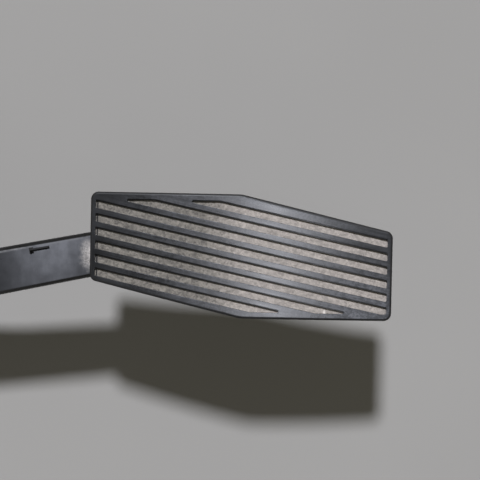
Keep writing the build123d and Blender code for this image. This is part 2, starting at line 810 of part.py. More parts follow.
# Pivot pin with a clip groove at one end and a flat for the rotor at the other
with BuildPart() as pivot_pin:
    with BuildSketch(at_y(pin_end)):
        with Locations((0, pivot_height)):
            Circle(pin_radius)
    extrude(amount=pin_end - rotor_out)
    chamfer(pivot_pin.faces().filter_by(Axis.Y).edges(), pin_chamfer)
    with BuildSketch(at_y(clip_in)):
        with Locations((0, pivot_height)):
            Circle(2 * pin_radius)
            Circle(pin_radius - clip_groove_depth, mode=Mode.SUBTRACT)
    extrude(amount=clip_thickness, mode=Mode.SUBTRACT)
    with BuildSketch(at_y(rotor_in)):
        with Locations((pin_radius - rotor_flat, pivot_height)):
            Rectangle(pin_radius, 2 * pin_radius, align=(Align.MIN, Align.CENTER))
    extrude(amount=-rotor_thickness, mode=Mode.SUBTRACT)

# Retaining clip, open to one side
with BuildPart() as retaining_clip:
    with BuildSketch(at_y(clip_in)):
        with Locations((0, pivot_height)):
            Circle(pin_radius + clip_wall)
            Circle(pin_radius - clip_groove_depth, mode=Mode.SUBTRACT)
            Rectangle(
                2 * pin_radius,
                clip_mouth,
                align=(Align.MIN, Align.CENTER),
                mode=Mode.SUBTRACT,
            )
    extrude(amount=clip_thickness)

# Magnet rotor on the pin's flat, with pockets for two arc magnets
with BuildPart() as magnet_rotor:
    with BuildSketch(at_y(rotor_in)):
        with Locations((0, pivot_height)):
            Circle(rotor_radius)
            Circle(pin_radius, mode=Mode.SUBTRACT)
        with Locations((pin_radius - rotor_flat, pivot_height)):
            Rectangle(pin_radius, 2 * pin_radius, align=(Align.MIN, Align.CENTER))
    extrude(amount=-rotor_thickness)
    with BuildSketch(at_y(rotor_out)) as magnet_outline:
        with Locations((0, pivot_height)):
            Circle(magnet_outer_radius)
            Circle(magnet_inner_radius, mode=Mode.SUBTRACT)
            Rectangle(2 * rotor_radius, magnet_split, mode=Mode.SUBTRACT)
    extrude(amount=magnet_thickness, mode=Mode.SUBTRACT)

with BuildPart() as sensor_magnets:
    extrude(magnet_outline.sketch, amount=magnet_thickness)

# Friction plunger: a cup with a slotted skirt
with BuildPart() as friction_plunger:
    with BuildSketch(Plane.YZ.offset(plunger_back)):
        with Locations((0, spring_height)):
            Circle(plunger_radius)
    extrude(amount=plunger_length)
    chamfer(friction_plunger.faces().sort_by(Axis.X)[-1].edges(), plunger_chamfer)
    with BuildSketch(Plane.YZ.offset(plunger_back)):
        with Locations((0, spring_height)):
            Circle(plunger_bore)
    extrude(amount=plunger_length - plunger_head, mode=Mode.SUBTRACT)
    for pair in range(plunger_slot_pairs):
        with Locations((plunger_back, 0, spring_height)):
            Box(
                2 * plunger_slot_length,
                2 * barrel_radius,
                plunger_slot_width,
                rotation=(180 / plunger_slot_pairs * pair, 0, 0),
                mode=Mode.SUBTRACT,
            )
    with BuildSketch(Plane.YZ.offset(spring_front)):
        with Locations((0, spring_height)):
            Circle(guide_radius)
    extrude(amount=-guide_length)


def coil_spring(coil_radius, wire_radius, turns, hand):
    """Coil spring along the barrel with closed end turns, its wire led round half turn by half turn."""
    end_halves = 2 * closed_turns
    open_halves = 2 * turns - 2 * end_halves
    end_step = wire_radius + coil_gap / 2
    open_length = spring_length - 2 * (seat_gap + wire_radius + end_halves * end_step)
    open_step = open_length / open_halves
    x = spring_back + seat_gap + wire_radius
    way = 1
    with BuildPart() as spring:
        with BuildLine() as coil:
            for step in [end_step] * end_halves + [open_step] * open_halves + [end_step] * end_halves:
                ThreePointArc(
                    (x, hand * way * coil_radius, spring_height),
                    (x + step / 2, 0, spring_height + way * hypot(coil_radius, step / 2)),
                    (x + step, -hand * way * coil_radius, spring_height),
                )
                x += step
                way = -way
        with BuildSketch(Plane(coil.line @ 0, z_dir=coil.line % 0)):
            RegularPolygon(wire_radius, wire_sides)
        sweep(path=coil.wires()[0])
    return spring


outer_return_spring = coil_spring(outer_coil_radius, outer_wire_radius, outer_turns, 1)
inner_return_spring = coil_spring(inner_coil_radius, inner_wire_radius, inner_turns, -1)

# Spring cap: a flange over the barrel's end and a spigot that carries the springs
with BuildPart() as spring_cap:
    extrude(barrel_end.sketch, amount=-cap_flange)
    with BuildSketch(Plane.YZ.offset(barrel_rear)):
        with Locations((0, spring_height)):
            Circle(barrel_bore - plunger_gap)
    extrude(amount=cap_spigot)
    with BuildSketch(Plane.YZ.offset(spring_back)):
        with Locations((0, spring_height)):
            Circle(guide_radius)
    extrude(amount=guide_length)
    with BuildSketch(Plane.YZ.offset(cap_back)):
        with Locations((0, spring_height)):
            Circle(barrel_bore - barrel_wall)
    extrude(amount=cap_flange, mode=Mode.SUBTRACT)
    with BuildSketch(Plane.YZ.offset(cap_back)):
        with Locations(*cap_lug_places):
            Circle(screw_hole_radius)
    extrude(amount=cap_flange, mode=Mode.SUBTRACT)


def pan_screws(plane, places, outward):
    """Pan-head screws with a six-sided drive, their heads seated on that plane."""
    with BuildPart() as screws:
        with BuildSketch(plane):
            with Locations(*places):
                Circle(screw_head_radius)
        extrude(amount=outward * screw_head_height)
        with BuildSketch(plane):
            with Locations(*places):
                Circle(screw_radius)
        extrude(amount=-outward * screw_length)
        with BuildSketch(plane.offset(outward * screw_head_height)):
            with Locations(*places):
                RegularPolygon(screw_socket_radius, 6)
        extrude(amount=-outward * screw_socket_depth, mode=Mode.SUBTRACT)
    return screws


cap_screws = pan_screws(Plane.YZ.offset(cap_back), cap_lug_places, -1)

# Rubber stops for the released and the fully pressed pedal
with BuildPart() as idle_stop_buffer:
    with Locations((stop_wall_x, 0, stop_wall_top)):
        Box(
            buffer_thickness,
            finger_width + 2 * nose_lip,
            buffer_drop,
            align=(Align.MAX, Align.CENTER, Align.MAX),
        )
    fillet(idle_stop_buffer.edges().filter_by(Axis.X), radius=nose_lip)

with BuildPart() as full_stop_buffer:
    with BuildSketch(Plane.XZ) as buffer_side:
        Polygon(
            (buffer_back_x, nose_top),
            (buffer_front_x, nose_top),
            (buffer_front_x, buffer_top(buffer_front_x)),
            (buffer_back_x, buffer_top(buffer_back_x)),
            align=None,
        )
        fillet(buffer_side.vertices().group_by(Axis.Y)[1:], radius=nose_lip)
    extrude(amount=buffer_width / 2, both=True)

# Sensor board on its four posts, the sensor chips and the terminals
with BuildPart() as circuit_board:
    with BuildSketch(at_y(board_in)):
        with Locations((0, pivot_height)):
            RectangleRounded(
                cavity_length - 2 * board_gap,
                cavity_height - 2 * board_gap,
                cavity_corner - board_gap,
            )
        with Locations(*post_places):
            Circle(board_hole_radius, mode=Mode.SUBTRACT)
    extrude(amount=-board_thickness)

with BuildPart() as hall_sensors:
    with BuildSketch(at_y(board_in)):
        with Locations((0, pivot_height)):
            with GridLocations(0, chip_spacing, 1, 2):
                Rectangle(chip_length, chip_width)
    extrude(amount=chip_height)

with BuildPart() as terminal_pins:
    with Locations(*terminal_places):
        Box(terminal_length, terminal_thickness, terminal_width)
    chamfer(terminal_pins.faces().group_by(Axis.X)[0].edges(), terminal_chamfer)

# Lid of the sensor chamber with its gasket and screws
with BuildPart() as cover_gasket:
    with BuildSketch(at_y(chamber_out)):
        with Locations((0, pivot_height)):
            RectangleRounded(chamber_length, chamber_height, chamber_corner)
            RectangleRounded(cavity_length, cavity_height, cavity_corner, mode=Mode.SUBTRACT)
        with Locations(*lug_places):
            Circle(lug_radius + lid_gap, mode=Mode.SUBTRACT)
    extrude(amount=-gasket_thickness)

with BuildPart() as sensor_cover:
    with BuildSketch(at_y(lid_seat)):
        with Locations((0, pivot_height)):
            RectangleRounded(chamber_length, chamber_height, chamber_corner)
    extrude(amount=-lid_thickness)
    chamfer(sensor_cover.faces().sort_by(Axis.Y)[-1].edges(), lid_chamfer)
    with BuildSketch(at_y(lid_seat)):
        with Locations(*lug_places):
            Circle(lug_radius)
    extrude(amount=-lid_thickness)
    with BuildSketch(at_y(lid_out)):
        with Locations((0, pivot_height)):
            RectangleRounded(lid_dish_length, lid_dish_height, cavity_corner)
    extrude(amount=lid_dish_depth, mode=Mode.SUBTRACT)
    with BuildSketch(at_y(lid_seat)):
        with Locations((0, pivot_height)):
            RectangleRounded(lid_spigot_length, lid_spigot_height, cavity_corner - lid_gap)
            RectangleRounded(
                lid_spigot_length - 2 * lid_spigot_wall,
                lid_spigot_height - 2 * lid_spigot_wall,
                cavity_corner - lid_gap - lid_spigot_wall,
                mode=Mode.SUBTRACT,
            )
    extrude(amount=lid_spigot + gasket_thickness)
    with BuildSketch(at_y(lid_seat)):
        with Locations(*lug_places):
            Circle(screw_hole_radius)
    extrude(amount=-lid_thickness, mode=Mode.SUBTRACT)

cover_screws = pan_screws(at_y(lid_out), lug_places, -1)

os.makedirs("parts", exist_ok=True)
nodes = {
    "pedal_lever": pedal_lever,
    "pivot_pin": pivot_pin,
    "retaining_clip": retaining_clip,
    "magnet_rotor": magnet_rotor,
    "sensor_magnets": sensor_magnets,
    "friction_plunger": friction_plunger,
    "outer_return_spring": outer_return_spring,
    "inner_return_spring": inner_return_spring,
    "housing": housing,
    "mounting_sleeves": mounting_sleeves,
    "bush_left": bush_left,
    "bush_right": bush_right,
    "shaft_seal": shaft_seal,
    "spring_cap": spring_cap,
    "cap_screws": cap_screws,
    "idle_stop_buffer": idle_stop_buffer,
    "full_stop_buffer": full_stop_buffer,
    "circuit_board": circuit_board,
    "hall_sensors": hall_sensors,
    "terminal_pins": terminal_pins,
    "cover_gasket": cover_gasket,
    "sensor_cover": sensor_cover,
    "cover_screws": cover_screws,
}
for name, node in nodes.items():
    node.part.label = name
    export_step(node.part, f"parts/{name}.step")
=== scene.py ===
"""Looks of the accelerator pedal: finishes for its moulded, metal and rubber pieces, and the photo stage."""

from itertools import product
from math import atan, atan2, cos, pi, radians, sin

import bpy
from mathutils import Matrix, Vector


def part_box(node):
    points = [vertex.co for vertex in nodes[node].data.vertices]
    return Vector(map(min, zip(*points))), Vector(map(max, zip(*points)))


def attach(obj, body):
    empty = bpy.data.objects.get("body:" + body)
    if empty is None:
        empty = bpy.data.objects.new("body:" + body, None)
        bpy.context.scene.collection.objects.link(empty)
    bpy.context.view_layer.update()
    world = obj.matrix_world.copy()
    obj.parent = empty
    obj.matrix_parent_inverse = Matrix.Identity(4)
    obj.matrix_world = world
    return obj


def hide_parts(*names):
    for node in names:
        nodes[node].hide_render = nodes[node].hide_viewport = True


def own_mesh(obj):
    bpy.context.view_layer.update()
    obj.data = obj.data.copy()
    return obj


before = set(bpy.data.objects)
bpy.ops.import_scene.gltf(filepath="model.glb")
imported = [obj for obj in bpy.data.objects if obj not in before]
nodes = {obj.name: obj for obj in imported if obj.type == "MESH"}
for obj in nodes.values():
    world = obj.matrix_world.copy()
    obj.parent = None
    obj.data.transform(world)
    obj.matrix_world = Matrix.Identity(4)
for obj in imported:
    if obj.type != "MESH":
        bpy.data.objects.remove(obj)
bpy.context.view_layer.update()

bl_info = {
    "name": "Accelerator pedal",
    "version": (1, 0, 0),
    "blender": (4, 5, 0),
    "location": "View3D > Sidebar > Pedal",
    "description": "Finishes, small fittings and stage for an accelerator pedal with a grooved pad",
    "category": "Object",
}

MM = 0.001

# The pad lies at the far upper corner of the lever's box, and its face is crowned along its length
LEVER_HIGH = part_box("pedal_lever")[1]
PAD_LENGTH = 132 * MM
PAD_WIDTH = 53.8 * MM
PAD_START_X = LEVER_HIGH.x - PAD_LENGTH
PAD_X = LEVER_HIGH.x - PAD_LENGTH / 2
PAD_Y = LEVER_HIGH.y - PAD_WIDTH / 2
CROWN_RADIUS = 430 * MM
CROWN_AXIS = Vector((PAD_X, 0, LEVER_HIGH.z - CROWN_RADIUS))

# Slanted grooves in the pad's face
GROOVE_ANGLE = radians(11.8)
GROOVE_PITCH = 5.8 * MM
GROOVE_WIDTH = 3.6 * MM
GROOVE_DEPTH = 1.7 * MM
GROOVE_MIDDLE = Vector((PAD_X, PAD_Y - 0.5 * MM, 0))
GROOVE_START_X = PAD_START_X + 2.2 * MM
GROOVE_TOP_Y = LEVER_HIGH.y - 2.9 * MM

# Dust in them: a pale bank at the arm's end that is partly a painted highlight on the end wall's edge, a
# line painted dark as the end wall's shade, then a strip that leaves a painted shadow line under the upper
# wall
LIT_BANK_END_X = GROOVE_START_X + 0.45 * MM
SHADED_END_X = GROOVE_START_X + 0.85 * MM
STRIP_START_X = GROOVE_START_X + 1.15 * MM
SHADE_LINE_EDGE = GROOVE_WIDTH / 2 - 0.3 * MM
STRIP_EDGE = GROOVE_WIDTH / 2 - 0.5 * MM
STRIP_RAGGED = 0.3 * MM
TOP_SHADE_LINE = 0.15 * MM
SHADE_LINE_START_X = PAD_X - 40 * MM
SHADE_LINE_END_X = PAD_X + 40 * MM
DIM_DUST_END_X = PAD_X - 17 * MM
LIT_DUST_START_X = PAD_X + 1 * MM
CRUMB_PLACE = Vector((220.7, -7.5, 0)) * MM
CRUMB_SIZE = Vector((0.75, 1.4, 1)) * MM

# Film on the ribs, partly painted sheen: near the free end the lower rows have more than the upper ones, and
# the rim has less
ROWS_START_X = PAD_X + 30 * MM
ROWS_FULL_X = PAD_X + 52 * MM
UPPER_ROWS_Y = PAD_Y + 5 * MM
LOWER_ROWS_Y = PAD_Y - 14 * MM
END_RIM_START_X = PAD_X + 63 * MM
END_RIM_FULL_X = PAD_X + 65 * MM
RIB_LINE_SIZE = Vector((30, 0.9, 30)) * MM

# The arm runs into the pad's side, and its upper edge climbs towards the pad
ARM_END_Y = PAD_Y - 0.75 * MM
ARM_UPPER_Y = ARM_END_Y + 10 * MM
ARM_UPPER_SLOPE = 0.1935
CORNER_PLACE = Vector((PAD_START_X, ARM_END_Y + 0.4 * MM, 0))
CORNER_SIZE = Vector((5.6, 8.4, 1)) * MM
SLIT_ANGLE = atan(ARM_UPPER_SLOPE)
SLIT_MIDDLE = Vector((94.6, 17.15, 0)) * MM
SLIT_HALF = Vector((4.6, 0.65, 0)) * MM
FOOT_MIDDLE = Vector((90.9, 16.3, 0)) * MM
FOOT_HALF = Vector((1.0, 1.3, 0)) * MM

# Tones of the wear, of the painted shade and highlight, of the lamps and of the light all round
EDGE_HIGHLIGHT_TONE = "#a5a5a6"
SHADE_TONE = "#0a0a0b"
CRUMB_TONE = "#ddd5cc"
SETTLED_TONE = "#9a9289"
BLOOM_TONE = "#5c5a57"
LAMP_TONE = "#f4f6ff"
ROOM_TONE = "#fff8da"

# Refractive index that is typical of the moulded plastics
PLASTIC_IOR = 1.53

# How far each driven screw stands turned from the one before it
SCREW_TURN = radians(23)

# Lamps: the way from the pad, the distance and the size of the panel
KEY_WAY = Vector((-0.04, 0.65, 1))
KEY_REACH = 1.25
STRIP_WAY = Vector((0.087, -0.03, 1))
STRIP_REACH = 1.3
STRIP_SIZE = (0.08, 0.3)
FILL_WAY = Vector((-0.9, -0.9, 0.8))
FILL_REACH = 1.1
FILL_SIZE = (0.6, 0.6)

# Floor, and the height at which the pale backdrop behind it fades out
FLOOR_SIZE = 6
FLOOR_GAP = 0.4 * MM
BACKDROP_FULL = 0.2
BACKDROP_END = 0.35

# Sockets for the two numbers or the two colours of a Mix node, and settings that many nodes share
NUMBER_A = 2
NUMBER_B = 3
COLOUR_A = 6
COLOUR_B = 7
COLOURS = {"data_type": "RGBA", "out": 2}
SMOOTH = {"interpolation_type": "SMOOTHSTEP"}


def linear(code):
    """Linear colour with full alpha from an sRGB hex value."""
    shares = [int(code[i : i + 2], 16) / 255 for i in (1, 3, 5)]
    return [s / 12.92 if s <= 0.04045 else ((s + 0.055) / 1.055) ** 2.4 for s in shares] + [1.0]


def per_mm(size):
    """Texture scale whose pattern repeats about every so many millimetres."""
    return 1 / (size * MM)


def colour_property(title, about, code):
    """Colour that a user can change, given as an sRGB hex value."""
    return bpy.props.FloatVectorProperty(
        name=title, description=about, subtype="COLOR", size=4, min=0, max=1, default=linear(code)
    )


def length_property(title, about, value):
    """Length in metres that a user can change."""
    return bpy.props.FloatProperty(
        name=title, description=about, unit="LENGTH", min=0, precision=5, default=value
    )


class PedalFinish(bpy.types.PropertyGroup):
    """Colours and surface sizes of the pedal's materials."""

    nylon_dark: colour_property("Nylon, dark", "Darkest tone of the lever's moulded nylon", "#0f1012")
    nylon_light: colour_property("Nylon, light", "Lightest tone of the lever's moulded nylon", "#1a1c20")
    # The film colour also serves as painted sheen on the arm and the ribs
    film: colour_property("Film", "Grey film of fine dust that dulls the nylon", "#74767c")
    # The dust pales from dark to light towards the free end partly as painted light
    dust_dark: colour_property("Dust, dark", "Trodden dust at the arm's end of the grooves", "#77726a")
    dust_corner: colour_property("Dust, corner", "Dry dust in the corner between arm and pad", "#b9b4af")
    dust_light: colour_property("Dust, light", "Loose dust at the free end of the grooves", "#a79f97")
    housing: colour_property("Housing", "Glass-filled nylon of the housing", "#26272a")
    cover: colour_property("Lids", "Sensor lid and spring cap", "#2d2e30")
    zinc: colour_property("Zinc plate", "Zinc-plated screws and sleeves", "#c3c5c4")
    acetal: colour_property("Acetal", "Natural acetal of the plunger", "#dfdcd2")
    grain: length_property("Mould grain", "Spacing of the eroded grain of the mouldings", 0.45 * MM)
    speckle: length_property("Dust speckle", "Size of the clumps in the groove dust", 2.4 * MM)


class PedalFittings(bpy.types.PropertyGroup):
    """Sizes of the springs and screws."""

    outer_wire: length_property("Outer wire", "Wire radius of the outer return spring", 0.9 * MM)
    inner_wire: length_property("Inner wire", "Wire radius of the inner return spring", 0.65 * MM)
    outer_turns: bpy.props.IntProperty(
        name="Outer turns", description="Turns of the outer spring", default=6, min=3
    )
    inner_turns: bpy.props.IntProperty(
        name="Inner turns", description="Turns of the inner spring", default=7, min=3
    )
    head_radius: length_property("Head radius", "Radius of the pan-head screws", 3.0 * MM)
    head_height: length_property("Head height", "Height of the pan-head screws", 2.2 * MM)
    shank_radius: length_property("Shank radius", "Radius of the screws' shanks", 1.5 * MM)
    lobe_reach: length_property("Lobe reach", "Outer radius of the six-lobe recess", 1.7 * MM)
    lobe_depth: length_property("Lobe depth", "Depth of the six-lobe recess", 1.3 * MM)


class PedalStage(bpy.types.PropertyGroup):
    """Floor, lamps and camera."""

    floor: colour_property("Floor", "Plain pale floor", "#a19f9b")
    key_strength: bpy.props.FloatProperty(
        name="Key light", description="Strength of the even light that casts the shadow", default=3.6, min=0
    )
    key_spread: bpy.props.FloatProperty(
        name="Key spread",
        description="Apparent width of the key light",
        subtype="ANGLE",
        default=radians(5.5),
        min=0,
    )
    strip_power: bpy.props.FloatProperty(
        name="Strip lamp",
        description="Power of the strip whose sheen shows on the ribs",
        unit="POWER",
        default=4.1,
        min=0,
    )
    fill_power: bpy.props.FloatProperty(
        name="Fill lamp",
        description="Power of the soft lamp on the other side",
        unit="POWER",
        default=0.7,
        min=0,
    )
    room: bpy.props.FloatProperty(
        name="Room light", description="Strength of the light all round", default=0.12, min=0
    )
    lens: bpy.props.FloatProperty(
        name="Lens", description="Focal length on a 36 mm frame, in mm", default=103.8, min=1
    )
    camera_place: bpy.props.FloatVectorProperty(
        name="Camera place",
        description="Where the camera stands",
        subtype="XYZ",
        default=(0.19375, 0.03383, 0.68982),
    )
    camera_turn: bpy.props.FloatVectorProperty(
        name="Camera turn",
        description="How the camera is turned from straight down",
        subtype="EULER",
        default=(radians(-1.0), radians(1.0), radians(1.228)),
    )


def put(tree, kind, inputs=None, out=0, **settings):
    """Add a shader node with its settings and return an output, if it has any.

    An input is a value or the output that feeds it.
    """
    node = tree.nodes.new("ShaderNode" + kind)
    for name, value in settings.items():
        setattr(node, name, value)
    for socket, value in (inputs or {}).items():
        if isinstance(value, bpy.types.NodeSocket):
            tree.links.new(value, node.inputs[socket])
        else:
            node.inputs[socket].default_value = value
    return node.outputs[out] if node.outputs else None


def new_material(name):
    """Empty node material and the piece's own coordinates."""
    material = bpy.data.materials.new(name)
    material.use_nodes = True
    material.node_tree.nodes.clear()
    return material, material.node_tree, put(material.node_tree, "TexCoord", out="Object")


def close_material(tree, inputs):
    """Shader and output of a material, with the shader's inputs given by name."""
    surface = put(tree, "BsdfPrincipled", inputs)
    put(tree, "OutputMaterial", {"Surface": surface})


def dress(material, *names):
    """Give CAD nodes a material."""
    for name in names:
        for slot in nodes[name].material_slots:
            slot.material = material


def crown_depth(tree, place):
    """How far a point lies below the pad's crowned face."""
    flat = put(tree, "VectorMath", {0: place, 1: (1, 0, 1)}, operation="MULTIPLY")
    reach = put(tree, "VectorMath", {0: flat, 1: CROWN_AXIS}, "Value", operation="DISTANCE")
    return put(tree, "Math", {0: CROWN_RADIUS, 1: reach}, operation="SUBTRACT")


def across_groove(tree, place):
    """Signed distance from the middle of the nearest groove, towards its upper wall."""
    upper_way = Vector((sin(GROOVE_ANGLE), cos(GROOVE_ANGLE), 0))
    offset = put(tree, "VectorMath", {0: place, 1: GROOVE_MIDDLE}, operation="SUBTRACT")
    rise = put(tree, "VectorMath", {0: offset, 1: upper_way}, "Value", operation="DOT_PRODUCT")
    steps = put(tree, "Math", {0: rise, 1: GROOVE_PITCH}, operation="DIVIDE")
    share = put(tree, "Math", {0: steps}, operation="FRACT")
    centred = put(tree, "Math", {0: share, 1: 0.5}, operation="SUBTRACT")
    return put(tree, "Math", {0: centred, 1: GROOVE_PITCH}, operation="MULTIPLY")


def groove_floor(tree, place, level):
    """Share of groove floor: level, about a groove's depth below the face, and past the grooves' start."""
    along = put(tree, "SeparateXYZ", {0: place})
    depth = crown_depth(tree, place)
    spans = (
        (depth, 0.5 * GROOVE_DEPTH, 0.85 * GROOVE_DEPTH),
        (depth, 1.5 * GROOVE_DEPTH, 1.3 * GROOVE_DEPTH),
        (along, GROOVE_START_X - 0.2 * MM, GROOVE_START_X),
    )
    floor = level
    for value, start, end in spans:
        mask = put(tree, "MapRange", {"Value": value, "From Min": start, "From Max": end}, **SMOOTH)
        floor = put(tree, "Math", {0: floor, 1: mask}, operation="MULTIPLY")
    return floor


def groove_dust(tree, place, level, clumps):
    """Shares of dust on the groove floors and of painted shade on the bare floor beside it: a shadow line
    under each upper wall and a line at the grooves' start.
    """
    along = put(tree, "SeparateXYZ", {0: place})
    # Near the top rim the painted shadow line runs just under the rim's wall
    upper_edge = GROOVE_TOP_Y - GROOVE_WIDTH / 2 + TOP_SHADE_LINE
    below_rim = put(tree, "Math", {0: along.node.outputs["Y"], 1: upper_edge}, operation="SUBTRACT")
    nearest = put(tree, "Math", {0: across_groove(tree, place), 1: below_rim}, operation="MAXIMUM")
    ragged = put(tree, "Math", {0: clumps, 1: STRIP_RAGGED, 2: nearest}, operation="MULTIPLY_ADD")
    strip = put(tree, "MapRange", {"Value": ragged, "From Min": SHADE_LINE_EDGE, "From Max": STRIP_EDGE})
    # The pale bank is partly a painted highlight on the end wall's edge, and the bare gap after it is
    # painted shade
    lit_bank = put(tree, "Math", {0: along, 1: LIT_BANK_END_X}, operation="LESS_THAN")
    past_end_shade = put(tree, "MapRange", {"Value": along, "From Min": SHADED_END_X, "From Max": STRIP_START_X})
    floor = groove_floor(tree, place, level)
    dust = put(tree, "Math", {0: past_end_shade, 1: lit_bank}, operation="MAXIMUM")
    for mask in (strip, floor):
        dust = put(tree, "Math", {0: dust, 1: mask}, operation="MULTIPLY")
    # The bare floor is painted dark as the walls' shade, less so towards the free end
    bare = put(tree, "Math", {0: floor, 1: dust}, operation="SUBTRACT")
    run_out = {"From Min": SHADE_LINE_START_X, "From Max": SHADE_LINE_END_X, "To Min": 1, "To Max": 0}
    fading = put(tree, "MapRange", {"Value": along, **run_out})
    shade_line = put(tree, "Math", {0: bare, 1: fading}, operation="MULTIPLY")
    return dust, shade_line


def oval_reach(tree, place, middle, size):
    """Distance from the middle of an oval, seen from above, counted so that it is 1 on the oval."""
    oval = {"Vector": place, "Location": middle, "Scale": size}
    centred = put(tree, "Mapping", oval, vector_type="TEXTURE")
    flat = put(tree, "VectorMath", {0: centred, 1: (1, 1, 0)}, operation="MULTIPLY")
    return put(tree, "VectorMath", {0: flat}, "Value", operation="LENGTH")


def crumb(tree, place):
    """Share of one pale crumb of grit that lies in the lowest groove."""
    reach = oval_reach(tree, place, CRUMB_PLACE, CRUMB_SIZE)
    return put(tree, "MapRange", {"Value": reach, "From Min": 1.1, "From Max": 0.4}, **SMOOTH)


def corner_dust(tree, place, clumps):
    """Share of dust in the corner where the arm meets the pad: a ragged half-round patch."""
    reach = oval_reach(tree, place, CORNER_PLACE, CORNER_SIZE)
    ragged = put(tree, "Math", {0: clumps, 1: 1.1, 2: reach}, operation="MULTIPLY_ADD")
    patch = {"Value": ragged, "From Min": 1.65, "From Max": 0.85, "To Max": 0.8}
    return put(tree, "MapRange", patch, **SMOOTH)


def dust_pattern(tree, place, speckle):
    """Clumps of dust a millimetre or two wide, the same clumps with grit in them, and sparse dark specks."""
    clumps = put(tree, "TexNoise", {"Vector": place, "Scale": 1 / speckle, "Detail": 3, "Roughness": 0.6})
    grit = put(tree, "TexVoronoi", {"Vector": place, "Scale": per_mm(0.7)}, "Color")
    grit = put(tree, "SeparateColor", {0: grit})
    mottle = put(tree, "Mix", {0: 0.28, NUMBER_A: clumps, NUMBER_B: grit})
    specks = put(tree, "TexVoronoi", {"Vector": place, "Scale": per_mm(6)}, "Distance")
    specks = put(tree, "MapRange", {"Value": specks, "From Min": 0.05, "From Max": 0.1, "To Min": 0.6})
    return clumps, mottle, specks


def dust_tone(tree, place, on_arm, mottle, specks, finish):
    """Colour of the dust: darker at the arm's end of the grooves and paler beyond, partly painted light that
    stands in for the brighter light there.
    """
    along = put(tree, "SeparateXYZ", {0: place})
    lit_dust = put(tree, "MapRange", {"Value": along, "From Min": DIM_DUST_END_X, "From Max": LIT_DUST_START_X})
    tone = put(tree, "Mix", {0: lit_dust, COLOUR_A: finish.dust_dark, COLOUR_B: finish.dust_light}, **COLOURS)
    tone = put(tree, "Mix", {0: on_arm, COLOUR_A: tone, COLOUR_B: finish.dust_corner}, **COLOURS)
    shades = []
    for darkest, palest in ((0.5, 1.5), (0.7, 1.28)):
        contrast = {"From Min": 0.3, "From Max": 0.7, "To Min": darkest, "To Max": palest}
        shades.append(put(tree, "MapRange", {"Value": mottle, **contrast}))
    shade = put(tree, "Mix", {0: lit_dust, NUMBER_A: shades[0], NUMBER_B: shades[1]})
    for share in (shade, specks):
        tone = put(tree, "VectorMath", {0: tone, 1: share}, operation="MULTIPLY")
    return tone


def rib_lines(tree, place):
    """Fine lines along the ribs, as shoes and wiping leave them."""
    slant = {"Vector": place, "Rotation": (0, 0, -GROOVE_ANGLE), "Scale": RIB_LINE_SIZE}
    drawn = put(tree, "Mapping", slant, vector_type="TEXTURE")
    return put(tree, "TexNoise", {"Vector": drawn, "Scale": 1, "Detail": 4, "Roughness": 0.6})


def rib_film_and_sheen(tree, place, clouds, mottle, lines):
    """Share of grey film on the pad's ribs: streaked, and thicker towards the free end but for its rim; the
    thickening is partly painted light.
    """
    along = put(tree, "SeparateXYZ", {0: place})
    sideways = along.node.outputs["Y"]
    tread = 0.0
    for start, end, most in ((0, 121 * MM, 0.22), (3 * MM, 28 * MM, 0.09)):
        limits = {"From Min": PAD_START_X + start, "From Max": PAD_START_X + end, "To Max": most}
        ramp = put(tree, "MapRange", {"Value": along, **limits})
        tread = put(tree, "Math", {0: tread, 1: ramp}, operation="ADD")
    contrast = {"From Min": 0.4, "From Max": 0.6, "To Min": 0.5, "To Max": 1.3}
    worn = put(tree, "MapRange", {"Value": mottle, **contrast})
    film = put(tree, "MapRange", {"Value": clouds, "From Min": 0.35, "From Max": 0.7, "To Max": 0.08})
    film = put(tree, "Math", {0: tread, 1: worn, 2: film}, operation="MULTIPLY_ADD")

    # Towards the free end the upper rows get less film than the lower ones, so they are darker
    near_end = put(tree, "MapRange", {"Value": along, "From Min": ROWS_START_X, "From Max": ROWS_FULL_X})
    wiped = {"From Min": UPPER_ROWS_Y, "From Max": LOWER_ROWS_Y, "To Min": 0.3, "To Max": 1.35}
    rows = put(tree, "MapRange", {"Value": sideways, **wiped})
    rows = put(tree, "Mix", {0: near_end, NUMBER_A: 1.0, NUMBER_B: rows})
    clean_rim = {"From Min": END_RIM_START_X, "From Max": END_RIM_FULL_X, "To Min": 1, "To Max": 0.5}
    end_rim = put(tree, "MapRange", {"Value": along, **clean_rim})
    contrast = {"From Min": 0.3, "From Max": 0.7, "To Min": 0.6, "To Max": 1.4}
    streaks = put(tree, "MapRange", {"Value": lines, **contrast})
    for share in (end_rim, rows, streaks):
        film = put(tree, "Math", {0: film, 1: share}, operation="MULTIPLY")
    return film


def inside_arm(tree, place):
    """How far a point lies inside the arm's upper edge."""
    along = put(tree, "SeparateXYZ", {0: place})
    sideways = along.node.outputs["Y"]
    rise = put(tree, "Math", {0: along, 1: -ARM_UPPER_SLOPE, 2: sideways}, operation="MULTIPLY_ADD")
    line = ARM_UPPER_Y - ARM_UPPER_SLOPE * PAD_START_X
    return put(tree, "Math", {0: line, 1: rise}, operation="SUBTRACT")


